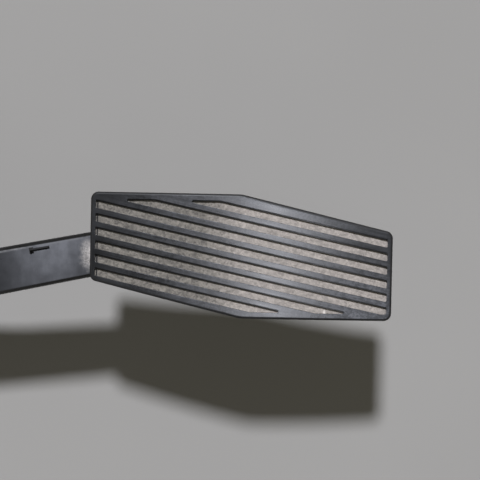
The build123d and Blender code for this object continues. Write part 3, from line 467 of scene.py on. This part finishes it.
def arm_film_and_sheen(tree, place, inside):
    """Share of grey film on the arm, partly painted sheen: soft haze with faint smears across it."""
    along = put(tree, "SeparateXYZ", {0: place})
    haze = put(tree, "TexNoise", {"Vector": place, "Scale": per_mm(8), "Detail": 5, "Roughness": 0.6})
    film = put(tree, "MapRange", {"Value": haze, "From Min": 0.35, "From Max": 0.7, "To Min": 0.6})
    stretched = put(tree, "Mapping", {"Vector": place, "Scale": (per_mm(3), per_mm(18), per_mm(18))})
    smears = put(tree, "TexNoise", {"Vector": stretched, "Scale": 1, "Detail": 6, "Roughness": 0.65})

    # It is thin towards the hub, thinner again beside the pad, and thickest along the arm's upper side; the
    # lighter middle this gives is partly painted sheen
    spans = (
        (smears, 0.3, 0.7, 0.8, 1),
        (along, 77 * MM, 98 * MM, 0.25, 1),
        (along, 107 * MM, 114 * MM, 1.1, 0.7),
        (inside, 4 * MM, 17 * MM, 1.4, 0.75),
    )
    for value, start, end, first, last in spans:
        limits = {"From Min": start, "From Max": end, "To Min": first, "To Max": last}
        share = put(tree, "MapRange", {"Value": value, **limits})
        film = put(tree, "Math", {0: film, 1: share}, operation="MULTIPLY")
    return film


def hub_film(tree, place, upward):
    """Share of settled dust on the sloping back of the arm, near the hub where no shoe wipes it."""
    along = put(tree, "SeparateXYZ", {0: place})
    settled = put(tree, "TexNoise", {"Vector": place, "Scale": per_mm(6), "Detail": 6, "Roughness": 0.7})
    film = 0.4
    for value, start, end in ((settled, 0.25, 0.75), (upward, 0.2, 0.9), (along, 84 * MM, 60 * MM)):
        share = put(tree, "MapRange", {"Value": value, "From Min": start, "From Max": end})
        film = put(tree, "Math", {0: film, 1: share}, operation="MULTIPLY")
    return film


def slit_shade(tree, place):
    """Share of painted shade: black on the rounded rim of the slit in the arm and round its foot, which
    deepens the slit's opening.
    """
    rims = []
    for middle, half in ((SLIT_MIDDLE, SLIT_HALF), (FOOT_MIDDLE, FOOT_HALF)):
        slant = {"Vector": place, "Location": middle, "Rotation": (0, 0, SLIT_ANGLE)}
        turned = put(tree, "Mapping", slant, vector_type="TEXTURE")
        spread = put(tree, "VectorMath", {0: turned}, operation="ABSOLUTE")
        beyond = put(tree, "VectorMath", {0: spread, 1: half}, operation="SUBTRACT")
        lengthwise = put(tree, "SeparateXYZ", {0: beyond})
        sideways = lengthwise.node.outputs["Y"]
        away = put(tree, "Math", {0: lengthwise, 1: sideways}, operation="MAXIMUM")
        rims.append(put(tree, "MapRange", {"Value": away, "From Min": 0.15 * MM, "From Max": -0.05 * MM}))
    return put(tree, "Math", {0: rims[0], 1: rims[1]}, operation="MAXIMUM")


def edge_shade(tree, place, upward, flat):
    """Share of painted shade: black on the rounded edges of the pad and of the arm's near part, which turn
    away from the light.
    """
    along = put(tree, "SeparateXYZ", {0: place})
    painted_shade = put(tree, "Math", {0: 1, 1: flat}, operation="SUBTRACT")
    for value, start, end in ((upward, 0.25, 0.45), (along, 70 * MM, 80 * MM)):
        share = put(tree, "MapRange", {"Value": value, "From Min": start, "From Max": end})
        painted_shade = put(tree, "Math", {0: painted_shade, 1: share}, operation="MULTIPLY")
    return painted_shade


def edge_highlight(tree, place, inside):
    """Share of pale marks just inside the arm's upper edge, fainter towards the pad: a painted highlight of
    the rounded edge, broken up by scuffs.
    """
    along = put(tree, "SeparateXYZ", {0: place})
    near = put(tree, "MapRange", {"Value": inside, "From Min": 2.9 * MM, "From Max": 1.7 * MM}, **SMOOTH)
    fainter = {"From Min": 88 * MM, "From Max": 92 * MM, "To Min": 1, "To Max": 0.35}
    fading = put(tree, "MapRange", {"Value": along, **fainter})
    stretched = put(tree, "Mapping", {"Vector": place, "Scale": (per_mm(7), per_mm(1.5), per_mm(7))})
    highlight_breaks = put(tree, "TexNoise", {"Vector": stretched, "Scale": 1, "Detail": 6, "Roughness": 0.75})
    highlight_breaks = put(tree, "MapRange", {"Value": highlight_breaks, "From Min": 0.34, "From Max": 0.56, "To Max": 0.9})
    for share in (near, fading):
        highlight_breaks = put(tree, "Math", {0: highlight_breaks, 1: share}, operation="MULTIPLY")
    return highlight_breaks


def lever_nylon(finish):
    """Glass-filled nylon from an eroded tool: bluish near-black with a soft sheen.

    Dry beige dust lies in the grooves and in the corner between arm and pad; in the grooves it pales towards
    the free end, partly as painted light. Black painted shade lies in the creases under the groove walls, in
    the slit and on the rounded edges. A grey film, partly painted sheen, dulls the arm and streaks the ribs,
    and along the arm's upper edge runs a painted highlight with pale scuffs that shoes have rubbed.
    """
    material, tree, place = new_material("glass_filled_nylon_used")
    along = put(tree, "SeparateXYZ", {0: place})
    facing = put(tree, "TexCoord", out="Normal")
    upward = put(tree, "SeparateXYZ", {0: facing}, "Z")
    level = put(tree, "MapRange", {"Value": upward, "From Min": 0.8, "From Max": 0.96}, **SMOOTH)
    flat = put(tree, "MapRange", {"Value": upward, "From Min": 0.96, "From Max": 0.995}, **SMOOTH)
    on_arm = put(tree, "Math", {0: along, 1: PAD_START_X}, operation="LESS_THAN")
    inside = inside_arm(tree, place)
    clouds = put(tree, "TexNoise", {"Vector": place, "Scale": per_mm(14), "Detail": 4})
    clumps, mottle, specks = dust_pattern(tree, place, finish.speckle)
    lines = rib_lines(tree, place)

    # Where dust and the painted shade lie
    corner = corner_dust(tree, place, clumps)
    for mask in (on_arm, level):
        corner = put(tree, "Math", {0: corner, 1: mask}, operation="MULTIPLY")
    grooves, shade_line = groove_dust(tree, place, level, clumps)
    dusty = put(tree, "Math", {0: grooves, 1: corner}, operation="MAXIMUM")
    # Painted shade: the slit's rim is painted black so its opening reads deeper
    rim = put(tree, "Math", {0: slit_shade(tree, place), 1: on_arm}, operation="MULTIPLY")
    painted_shade = put(tree, "Math", {0: shade_line, 1: rim}, operation="MAXIMUM")
    dry = put(tree, "Math", {0: dusty, 1: painted_shade}, operation="MAXIMUM")
    edges = edge_shade(tree, place, upward, flat)
    painted_shade = put(tree, "Math", {0: painted_shade, 1: edges}, operation="MAXIMUM")
    bit = put(tree, "Math", {0: crumb(tree, place), 1: grooves}, operation="MULTIPLY")

    # Where film, partly painted sheen, and the painted edge highlight lie
    on_ribs = rib_film_and_sheen(tree, place, clouds, mottle, lines)
    film = put(tree, "Mix", {0: on_arm, NUMBER_A: on_ribs, NUMBER_B: arm_film_and_sheen(tree, place, inside)})
    film = put(tree, "Math", {0: film, 1: flat}, operation="MULTIPLY")
    film = put(tree, "Math", {0: film, 1: hub_film(tree, place, upward)}, operation="MAXIMUM")
    highlight_scuffs = edge_highlight(tree, place, inside)
    for mask in (on_arm, flat):
        highlight_scuffs = put(tree, "Math", {0: highlight_scuffs, 1: mask}, operation="MULTIPLY")

    # Each layer covers the ones before it
    nylon = {0: clouds, COLOUR_A: finish.nylon_dark, COLOUR_B: finish.nylon_light}
    tone = put(tree, "Mix", nylon, **COLOURS)
    layers = (
        (film, finish.film),
        (highlight_scuffs, linear(EDGE_HIGHLIGHT_TONE)),
        (dusty, dust_tone(tree, place, on_arm, mottle, specks, finish)),
        (painted_shade, linear(SHADE_TONE)),
        (bit, linear(CRUMB_TONE)),
    )
    for share, cover in layers:
        tone = put(tree, "Mix", {0: share, COLOUR_A: tone, COLOUR_B: cover}, **COLOURS)

    # Clean nylon has a sheen that the film, the pad's edges and the dust take away
    sheen = put(tree, "Mix", {0: 0.6, NUMBER_A: clouds, NUMBER_B: lines})
    contrast = {"From Min": 0.25, "From Max": 0.75, "To Min": 0.22, "To Max": 0.35}
    rough = put(tree, "MapRange", {"Value": sheen, **contrast})
    pad_edges = put(tree, "Math", {0: edges, 1: on_arm}, operation="SUBTRACT", use_clamp=True)
    for share, dullest in ((film, 0.36), (pad_edges, 0.6), (dry, 0.75)):
        rough = put(tree, "Mix", {0: share, NUMBER_A: rough, NUMBER_B: dullest})

    # The eroded grain is about 0.1 mm wide on the part and is drawn coarser so that it shows
    grain = put(tree, "TexNoise", {"Vector": place, "Scale": 1 / finish.grain, "Detail": 2})
    soft = put(tree, "Bevel", {"Radius": 0.3 * MM}, samples=4)
    bump = put(tree, "Bump", {"Height": grain, "Strength": 0.2, "Distance": 0.05 * MM, "Normal": soft})
    heaps = put(tree, "Math", {0: mottle, 1: dusty}, operation="MULTIPLY")
    bump = put(tree, "Bump", {"Height": heaps, "Strength": 0.5, "Distance": 0.25 * MM, "Normal": bump})
    close_material(tree, {"Base Color": tone, "Roughness": rough, "Normal": bump, "IOR": PLASTIC_IOR})
    return material


def moulded_plastic(name, colour, grain, smoothest, dust):
    """Moulded engineering plastic: slow flow clouds, eroded grain, soft edges and dust on what faces up."""
    material, tree, place = new_material(name)
    facing = put(tree, "TexCoord", out="Normal")
    upward = put(tree, "SeparateXYZ", {0: facing}, "Z")
    clouds = put(tree, "TexNoise", {"Vector": place, "Scale": per_mm(11), "Detail": 4})
    paler = [min(1, 1.35 * share + 0.004) for share in colour[:3]] + [1]
    tone = put(tree, "Mix", {0: clouds, COLOUR_A: list(colour), COLOUR_B: paler}, **COLOURS)
    level = put(tree, "MapRange", {"Value": upward, "From Min": 0.3, "From Max": 0.95}, **SMOOTH)
    settled = put(tree, "TexNoise", {"Vector": place, "Scale": per_mm(5), "Detail": 7, "Roughness": 0.7})
    settled = put(tree, "MapRange", {"Value": settled, "From Min": 0.2, "From Max": 0.85, "To Max": dust})
    settled = put(tree, "Math", {0: settled, 1: level}, operation="MULTIPLY")
    tone = put(tree, "Mix", {0: settled, COLOUR_A: tone, COLOUR_B: linear(SETTLED_TONE)}, **COLOURS)
    rough = put(tree, "MapRange", {"Value": clouds, "To Min": smoothest, "To Max": smoothest + 0.1})
    rough = put(tree, "Mix", {0: settled, NUMBER_A: rough, NUMBER_B: 0.9})
    soft = put(tree, "Bevel", {"Radius": 0.35 * MM}, samples=4)
    pits = put(tree, "TexNoise", {"Vector": place, "Scale": 1 / grain, "Detail": 2})
    bump = put(tree, "Bump", {"Height": pits, "Strength": 0.3, "Distance": 0.06 * MM, "Normal": soft})
    close_material(tree, {"Base Color": tone, "Roughness": rough, "Normal": bump, "IOR": PLASTIC_IOR})
    return material


def worked_metal(name, colour, streak, smoothest, roughest):
    """Bare or plated metal: fine tool lines of a streak's size in mm, with slow stains from handling."""
    material, tree, place = new_material(name)
    drawn = put(tree, "Mapping", {"Vector": place, "Scale": [per_mm(size) for size in streak]})
    lines = put(tree, "TexNoise", {"Vector": drawn, "Scale": 1, "Detail": 3, "Roughness": 0.6})
    stains = put(tree, "TexNoise", {"Vector": place, "Scale": per_mm(3), "Detail": 5})
    stains = put(tree, "MapRange", {"Value": stains, "From Min": 0.5, "From Max": 0.8, "To Max": 0.5})
    duller = [0.6 * colour[0], 0.58 * colour[1], 0.55 * colour[2], 1]
    tone = put(tree, "Mix", {0: stains, COLOUR_A: list(colour), COLOUR_B: duller}, **COLOURS)
    rough = put(tree, "MapRange", {"Value": lines, "To Min": smoothest, "To Max": roughest})
    bump = put(tree, "Bump", {"Height": lines, "Strength": 0.2, "Distance": 0.03 * MM})
    close_material(tree, {"Base Color": tone, "Roughness": rough, "Normal": bump, "Metallic": 1.0})
    return material


def moulded_rubber(name, colour):
    """Black moulded rubber: dull, with a pale bloom of wax and fine pores."""
    material, tree, place = new_material(name)
    bloom = put(tree, "TexNoise", {"Vector": place, "Scale": per_mm(2.5), "Detail": 6})
    bloom = put(tree, "MapRange", {"Value": bloom, "From Min": 0.45, "From Max": 0.8, "To Max": 0.3})
    tone = put(tree, "Mix", {0: bloom, COLOUR_A: colour, COLOUR_B: linear(BLOOM_TONE)}, **COLOURS)
    rough = put(tree, "MapRange", {"Value": bloom, "To Min": 0.7, "To Max": 0.95})
    pores = put(tree, "TexVoronoi", {"Vector": place, "Scale": per_mm(0.4)}, "Distance")
    bump = put(tree, "Bump", {"Height": pores, "Strength": 0.25, "Distance": 0.05 * MM})
    close_material(tree, {"Base Color": tone, "Roughness": rough, "Normal": bump})
    return material


class PEDAL_OT_lever(bpy.types.Operator):
    """Finish the lever: used nylon with dusty grooves."""

    bl_idname = "pedal.lever"
    bl_label = "Pedal lever"

    def execute(self, context):
        dress(lever_nylon(context.scene.pedal_finish), "pedal_lever")
        return {"FINISHED"}


class PEDAL_OT_housing(bpy.types.Operator):
    """Finish the housing, the sensor lid and the spring cap."""

    bl_idname = "pedal.housing"
    bl_label = "Housing and lids"

    def execute(self, context):
        finish = context.scene.pedal_finish
        # Both are dark grey under thin dust; the lids are smoother than the glass-filled housing
        nylon = moulded_plastic("glass_filled_nylon_housing", finish.housing, finish.grain, 0.45, dust=0.3)
        pbt = moulded_plastic("moulded_pbt_lids", finish.cover, finish.grain, 0.36, dust=0.3)
        dress(nylon, "housing")
        dress(pbt, "sensor_cover", "spring_cap")
        return {"FINISHED"}


class PEDAL_OT_bearings(bpy.types.Operator):
    """Finish the pivot pin with its bushes, clip and seals, the plunger and the rubber stops."""

    bl_idname = "pedal.bearings"
    bl_label = "Bearings, plunger and stops"

    def execute(self, context):
        finish = context.scene.pedal_finish
        # The pin is bright with fine rings round it, and the clip dull and dark
        pin = worked_metal("ground_steel_pin", linear("#bdbdbd"), (8, 0.2, 8), 0.18, 0.32)
        clip = worked_metal("phosphated_spring_steel", linear("#5b5b5d"), (0.6, 0.6, 0.6), 0.45, 0.65)
        # Acetal is waxy: tan in the filled bushes, off-white in the plunger
        bush = moulded_plastic("filled_acetal_bush", linear("#c2b596"), finish.grain, 0.3, dust=0)
        plunger = moulded_plastic("natural_acetal_plunger", finish.acetal, finish.grain, 0.28, dust=0)
        seal = moulded_rubber("nitrile_rubber_seal", linear("#1b1b1b"))
        stop = moulded_rubber("bumper_rubber_stops", linear("#1e1d1c"))
        dress(pin, "pivot_pin")
        dress(clip, "retaining_clip")
        dress(bush, "bush_left", "bush_right")
        dress(plunger, "friction_plunger")
        dress(seal, "shaft_seal", "cover_gasket")
        dress(stop, "idle_stop_buffer", "full_stop_buffer")
        return {"FINISHED"}


class PEDAL_OT_sensor(bpy.types.Operator):
    """Finish the rotor, magnets, board, chips and terminals of the position sensor."""

    bl_idname = "pedal.sensor"
    bl_label = "Position sensor"

    def execute(self, context):
        finish = context.scene.pedal_finish
        # The board is glossy green, the rotor satin, and the chips and the sintered magnets are dull
        rows = (
            ("moulded_pbt_rotor", "#3f3f41", 0.35, "magnet_rotor"),
            ("sintered_ferrite", "#3a3a3c", 0.6, "sensor_magnets"),
            ("solder_resist_board", "#1d5a34", 0.25, "circuit_board"),
            ("moulded_epoxy_chips", "#202022", 0.5, "hall_sensors"),
        )
        for name, tone, smoothest, node in rows:
            dress(moulded_plastic(name, linear(tone), finish.grain, smoothest, dust=0), node)
        # Tin is bright and faintly warm, drawn along the blades
        tin = worked_metal("tin_plated_brass", linear("#cfcbc0"), (6, 0.3, 0.3), 0.2, 0.4)
        dress(tin, "terminal_pins")
        return {"FINISHED"}


class PEDAL_OT_sleeves(bpy.types.Operator):
    """Finish the three mounting sleeves."""

    bl_idname = "pedal.sleeves"
    bl_label = "Mounting sleeves"

    def execute(self, context):
        finish = context.scene.pedal_finish
        # Zinc plate is pale and silky, with turning lines round each sleeve
        zinc = worked_metal("zinc_plated_sleeves", finish.zinc, (1.2, 1.2, 0.3), 0.22, 0.42)
        dress(zinc, "mounting_sleeves")
        return {"FINISHED"}


def deselect():
    """Leave edit mode and deselect everything before a new piece."""
    if bpy.context.object and bpy.context.object.mode == "EDIT":
        bpy.ops.object.mode_set(mode="OBJECT")
    bpy.ops.object.select_all(action="DESELECT")


def edit(piece, kind, wanted):
    """Go to edit mode with just those edges or faces selected whose corners all pass the test."""
    bpy.ops.object.mode_set(mode="EDIT")
    bpy.ops.mesh.select_mode(type=kind)
    bpy.ops.mesh.select_all(action="DESELECT")
    bpy.ops.object.mode_set(mode="OBJECT")
    mesh = piece.data
    for element in mesh.edges if kind == "EDGE" else mesh.polygons:
        element.select = all(wanted(mesh.vertices[i].co) for i in element.vertices)
    bpy.ops.object.mode_set(mode="EDIT")


def coil(name, node, wire, turns, hand):
    """Return spring: a ring of wire turned along the barrel, with closed ends that are ground flat."""
    steps = 28
    sides = 12
    end_gap = 0.3 * MM
    low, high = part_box(node)
    middle = (low + high) / 2
    end_pitch = 2 * wire + end_gap
    open_pitch = (high.x - low.x - 2 * end_pitch) / (turns - 2)
    coil_radius = (high.z - low.z) / 2 - wire
    deselect()
    bpy.ops.mesh.primitive_circle_add(vertices=sides, radius=wire, location=(0, coil_radius, 0))
    spring = bpy.context.object
    spring.name = name
    bpy.ops.object.transform_apply(location=True, rotation=True, scale=True)
    winding = spring.modifiers.new("winding", "SCREW")
    winding.axis = "X"
    winding.angle = hand * 2 * pi
    winding.iterations = turns
    winding.steps = steps
    winding.render_steps = steps
    bpy.ops.object.modifier_apply(modifier="winding")

    # The first and the last turn lie close to their neighbours
    for index, vertex in enumerate(spring.data.vertices):
        turn = index // sides / steps
        closed = min(turn, 1) + max(turn - (turns - 1), 0)
        vertex.co += Vector((low.x + closed * end_pitch + (turn - closed) * open_pitch, middle.y, middle.z))
    bpy.ops.object.mode_set(mode="EDIT")
    bpy.ops.mesh.select_all(action="SELECT")
    bpy.ops.mesh.fill_holes(sides=0)
    bpy.ops.mesh.select_all(action="SELECT")
    ground = {"plane_no": (1, 0, 0), "use_fill": True, "threshold": 0.001 * MM}
    bpy.ops.mesh.bisect(plane_co=(low.x, 0, 0), clear_inner=True, **ground)
    bpy.ops.mesh.select_all(action="SELECT")
    bpy.ops.mesh.bisect(plane_co=(high.x, 0, 0), clear_outer=True, **ground)
    bpy.ops.mesh.select_all(action="SELECT")
    bpy.ops.mesh.normals_make_consistent(inside=False)
    bpy.ops.object.mode_set(mode="OBJECT")
    bpy.ops.object.shade_smooth_by_angle(angle=radians(40))
    return spring


class PEDAL_OT_springs(bpy.types.Operator):
    """Model the two return springs, one inside the other; on the pedal they shorten as the plunger slides.
    """

    bl_idname = "pedal.springs"
    bl_label = "Return springs"

    def execute(self, context):
        sizes = context.scene.pedal_fittings
        # Oil-tempered wire is mid grey and satin, with drawing lines
        steel = worked_metal("oil_tempered_spring_wire", linear("#77787b"), (0.4, 1.5, 1.5), 0.3, 0.5)
        pairs = (
            ("outer_spring", "outer_return_spring", sizes.outer_wire, sizes.outer_turns, 1),
            ("inner_spring", "inner_return_spring", sizes.inner_wire, sizes.inner_turns, -1),
        )
        for name, node, wire, turns, hand in pairs:
            spring = coil(name, node, wire, turns, hand)
            spring.data.materials.append(steel)
            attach(spring, "frame")
            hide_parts(node)
            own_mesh(spring)
        return {"FINISHED"}


def six_lobe_screw(sizes, shank_length):
    """Pan-head screw with a six-lobe recess: the underside of its head on z = 0, the shank below."""
    sides = 72
    lobes = 6
    waist = 0.28
    top = sizes.head_height
    near_top = 0.99 * top
    rounding = 0.5 * top
    flat_radius = sizes.head_radius - rounding
    mouth = (flat_radius + sizes.lobe_reach) / 2
    deselect()
    bpy.ops.mesh.primitive_cylinder_add(
        vertices=sides, radius=sizes.head_radius, depth=top, location=(0, 0, top / 2)
    )
    screw = bpy.context.object
    bpy.ops.object.transform_apply(location=True, rotation=True, scale=True)
    edit(screw, "EDGE", lambda corner: corner.z > near_top)
    bpy.ops.mesh.bevel(offset=rounding, segments=5, profile=0.5, affect="EDGES")
    edit(screw, "FACE", lambda corner: corner.z < top - near_top)
    bpy.ops.mesh.inset(thickness=sizes.head_radius - sizes.shank_radius)
    bpy.ops.mesh.extrude_region_move(TRANSFORM_OT_translate={"value": (0, 0, -shank_length)})

    # A ring in the flat top is drawn in between its lobes and sunk
    edit(screw, "FACE", lambda corner: corner.z > near_top)
    bpy.ops.mesh.inset(thickness=flat_radius - sizes.lobe_reach)
    bpy.ops.object.mode_set(mode="OBJECT")
    for vertex in screw.data.vertices:
        if vertex.co.z > near_top and vertex.co.xy.length < mouth:
            angle = atan2(vertex.co.y, vertex.co.x)
            vertex.co.xy *= 1 - waist * (1 - cos(lobes * angle)) / 2
    edit(screw, "FACE", lambda corner: corner.z > near_top and corner.xy.length < mouth)
    bpy.ops.mesh.extrude_region_move(TRANSFORM_OT_translate={"value": (0, 0, -sizes.lobe_depth)})
    bpy.ops.object.mode_set(mode="OBJECT")
    bpy.ops.object.shade_smooth_by_angle(angle=radians(35))
    return screw


def screw_rows(low, high, margin):
    """Where the screws' axes cross one side of their common box: in its middle, or one near each end."""
    first = low + margin
    last = high - margin
    return [first, last] if last - first > margin else [(first + last) / 2]


class PEDAL_OT_screws(bpy.types.Operator):
    """Model the six-lobe screws of the spring cap and the sensor lid."""

    bl_idname = "pedal.screws"
    bl_label = "Cap and lid screws"

    def execute(self, context):
        sizes = context.scene.pedal_fittings
        finish = context.scene.pedal_finish
        # Zinc plate on formed screws is pale, with an even fine speckle
        zinc = worked_metal("zinc_plated_screws", finish.zinc, (0.5, 0.5, 0.5), 0.25, 0.42)
        for node, way in (("cap_screws", Vector((-1, 0, 0))), ("cover_screws", Vector((0, 1, 0)))):
            low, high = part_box(node)
            axis = max(range(3), key=lambda i: abs(way[i]))
            screw = six_lobe_screw(sizes, high[axis] - low[axis] - sizes.head_height)
            seat = low[axis] + sizes.head_height if way[axis] < 0 else high[axis] - sizes.head_height
            rows = [screw_rows(low[i], high[i], sizes.head_radius) for i in range(3)]
            rows[axis] = [seat]
            for number, place in enumerate(product(*rows)):
                copy = self.driven_copy(screw, f"{node}_{number + 1}", Vector(place), way, number)
                copy.data.materials.append(zinc)
                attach(copy, "frame")
                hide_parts(node)
            bpy.data.objects.remove(screw)
        return {"FINISHED"}

    def driven_copy(self, screw, name, place, way, number):
        """Copy the screw to its place, its recess turned differently from the others, as driven."""
        copy = bpy.data.objects.new(name, screw.data.copy())
        bpy.context.scene.collection.objects.link(copy)
        upright = way.to_track_quat("Z", "Y").to_matrix().to_4x4()
        driven = upright @ Matrix.Rotation(SCREW_TURN * number, 4, "Z")
        copy.data.transform(Matrix.Translation(place) @ driven)
        return copy


def floor_paint(colour):
    """Matt painted board: even pale grey with a faint slow mist."""
    material, tree, place = new_material("painted_board_floor")
    mist = put(tree, "TexNoise", {"Vector": place, "Scale": per_mm(180), "Detail": 3})
    darker = [0.9 * share for share in colour[:3]] + [1]
    tone = put(tree, "Mix", {0: mist, COLOUR_A: darker, COLOUR_B: list(colour)}, **COLOURS)
    close_material(tree, {"Base Color": tone, "Roughness": 0.8})
    return material


class PEDAL_OT_stage(bpy.types.Operator):
    """Set up the pale floor, the lamps and the camera above the pad."""

    bl_idname = "pedal.stage"
    bl_label = "Floor, lamps and camera"

    def execute(self, context):
        stage = context.scene.pedal_stage
        deselect()
        bpy.ops.mesh.primitive_plane_add(size=FLOOR_SIZE, location=(0, 0, -FLOOR_GAP))
        floor = context.object
        floor.name = "floor"
        floor.data.materials.append(floor_paint(stage.floor))
        key = bpy.data.lights.new("key", "SUN")
        key.energy = stage.key_strength
        key.angle = stage.key_spread
        self.hang(key, KEY_WAY, KEY_REACH)
        strip = self.hang(self.panel_lamp("strip", stage.strip_power, STRIP_SIZE), STRIP_WAY, STRIP_REACH)
        strip.visible_diffuse = False
        self.hang(self.panel_lamp("fill", stage.fill_power, FILL_SIZE), FILL_WAY, FILL_REACH)
        self.light_room(context.scene, stage)
        self.set_camera(context.scene, stage)
        context.scene.view_settings.view_transform = "Standard"
        return {"FINISHED"}

    def panel_lamp(self, name, power, size):
        """Oblong lamp that gives soft light."""
        lamp = bpy.data.lights.new(name, "AREA")
        lamp.shape = "RECTANGLE"
        lamp.size = size[0]
        lamp.size_y = size[1]
        lamp.energy = power
        return lamp

    def hang(self, lamp, way, reach):
        """Hang a lamp of daylight colour that way from the pad, facing it."""
        lamp.color = linear(LAMP_TONE)[:3]
        holder = bpy.data.objects.new(lamp.name, lamp)
        bpy.context.scene.collection.objects.link(holder)
        pad = Vector((PAD_X, PAD_Y, LEVER_HIGH.z))
        holder.location = pad + way.normalized() * reach
        holder.rotation_euler = Vector((0, 0, -1)).rotation_difference(pad - holder.location).to_euler()
        return holder

    def light_room(self, scene, stage):
        """Weak warm light all round, and a pale backdrop low behind the floor that is seen and mirrored."""
        scene.world = bpy.data.worlds.new("room")
        scene.world.use_nodes = True
        tree = scene.world.node_tree
        tree.nodes.clear()
        seen = put(tree, "LightPath", out="Is Camera Ray")
        rays = seen.node.outputs
        for kind in ("Is Glossy Ray", "Is Transmission Ray"):
            seen = put(tree, "Math", {0: seen, 1: rays[kind]}, operation="MAXIMUM")
        way = put(tree, "TexCoord", out="Object")
        height = put(tree, "SeparateXYZ", {0: way}, "Z")
        low = put(tree, "MapRange", {"Value": height, "From Min": BACKDROP_END, "From Max": BACKDROP_FULL})
        seen = put(tree, "Math", {0: seen, 1: low}, operation="MULTIPLY")
        room = put(tree, "Background", {"Color": linear(ROOM_TONE), "Strength": stage.room})
        backdrop = put(tree, "Background", {"Color": list(stage.floor), "Strength": 1.0})
        both = put(tree, "MixShader", {0: seen, 1: room, 2: backdrop})
        put(tree, "OutputWorld", {"Surface": both})

    def set_camera(self, scene, stage):
        """Camera at the photograph's viewing angle and framing."""
        view = bpy.data.cameras.new("photo_camera")
        view.sensor_fit = "HORIZONTAL"
        view.sensor_width = 36
        view.lens = stage.lens
        view.clip_start = 0.01
        camera = bpy.data.objects.new("photo_camera", view)
        scene.collection.objects.link(camera)
        camera.location = stage.camera_place
        camera.rotation_euler = stage.camera_turn
        scene.camera = camera


STEPS = (
    PEDAL_OT_lever,
    PEDAL_OT_housing,
    PEDAL_OT_bearings,
    PEDAL_OT_sensor,
    PEDAL_OT_sleeves,
    PEDAL_OT_springs,
    PEDAL_OT_screws,
    PEDAL_OT_stage,
)


class PEDAL_PT_panel(bpy.types.Panel):
    """Steps that dress the pedal, in order."""

    bl_label = "Accelerator pedal"
    bl_idname = "PEDAL_PT_panel"
    bl_space_type = "VIEW_3D"
    bl_region_type = "UI"
    bl_category = "Pedal"

    def draw(self, context):
        for step in STEPS:
            self.layout.operator(step.bl_idname)


CLASSES = (PedalFinish, PedalFittings, PedalStage) + STEPS + (PEDAL_PT_panel,)


def register():
    """Add the classes and the pedal's properties to Blender."""
    for cls in CLASSES:
        bpy.utils.register_class(cls)
    bpy.types.Scene.pedal_finish = bpy.props.PointerProperty(type=PedalFinish)
    bpy.types.Scene.pedal_fittings = bpy.props.PointerProperty(type=PedalFittings)
    bpy.types.Scene.pedal_stage = bpy.props.PointerProperty(type=PedalStage)


def unregister():
    """Take the classes and properties away again."""
    del bpy.types.Scene.pedal_stage
    del bpy.types.Scene.pedal_fittings
    del bpy.types.Scene.pedal_finish
    for cls in reversed(CLASSES):
        bpy.utils.unregister_class(cls)


def main():
    """Dress the pedal step by step."""
    register()
    bpy.ops.pedal.lever()
    bpy.ops.pedal.housing()
    bpy.ops.pedal.bearings()
    bpy.ops.pedal.sensor()
    bpy.ops.pedal.sleeves()
    bpy.ops.pedal.springs()
    bpy.ops.pedal.screws()
    bpy.ops.pedal.stage()


if __name__ == "__main__":
    main()
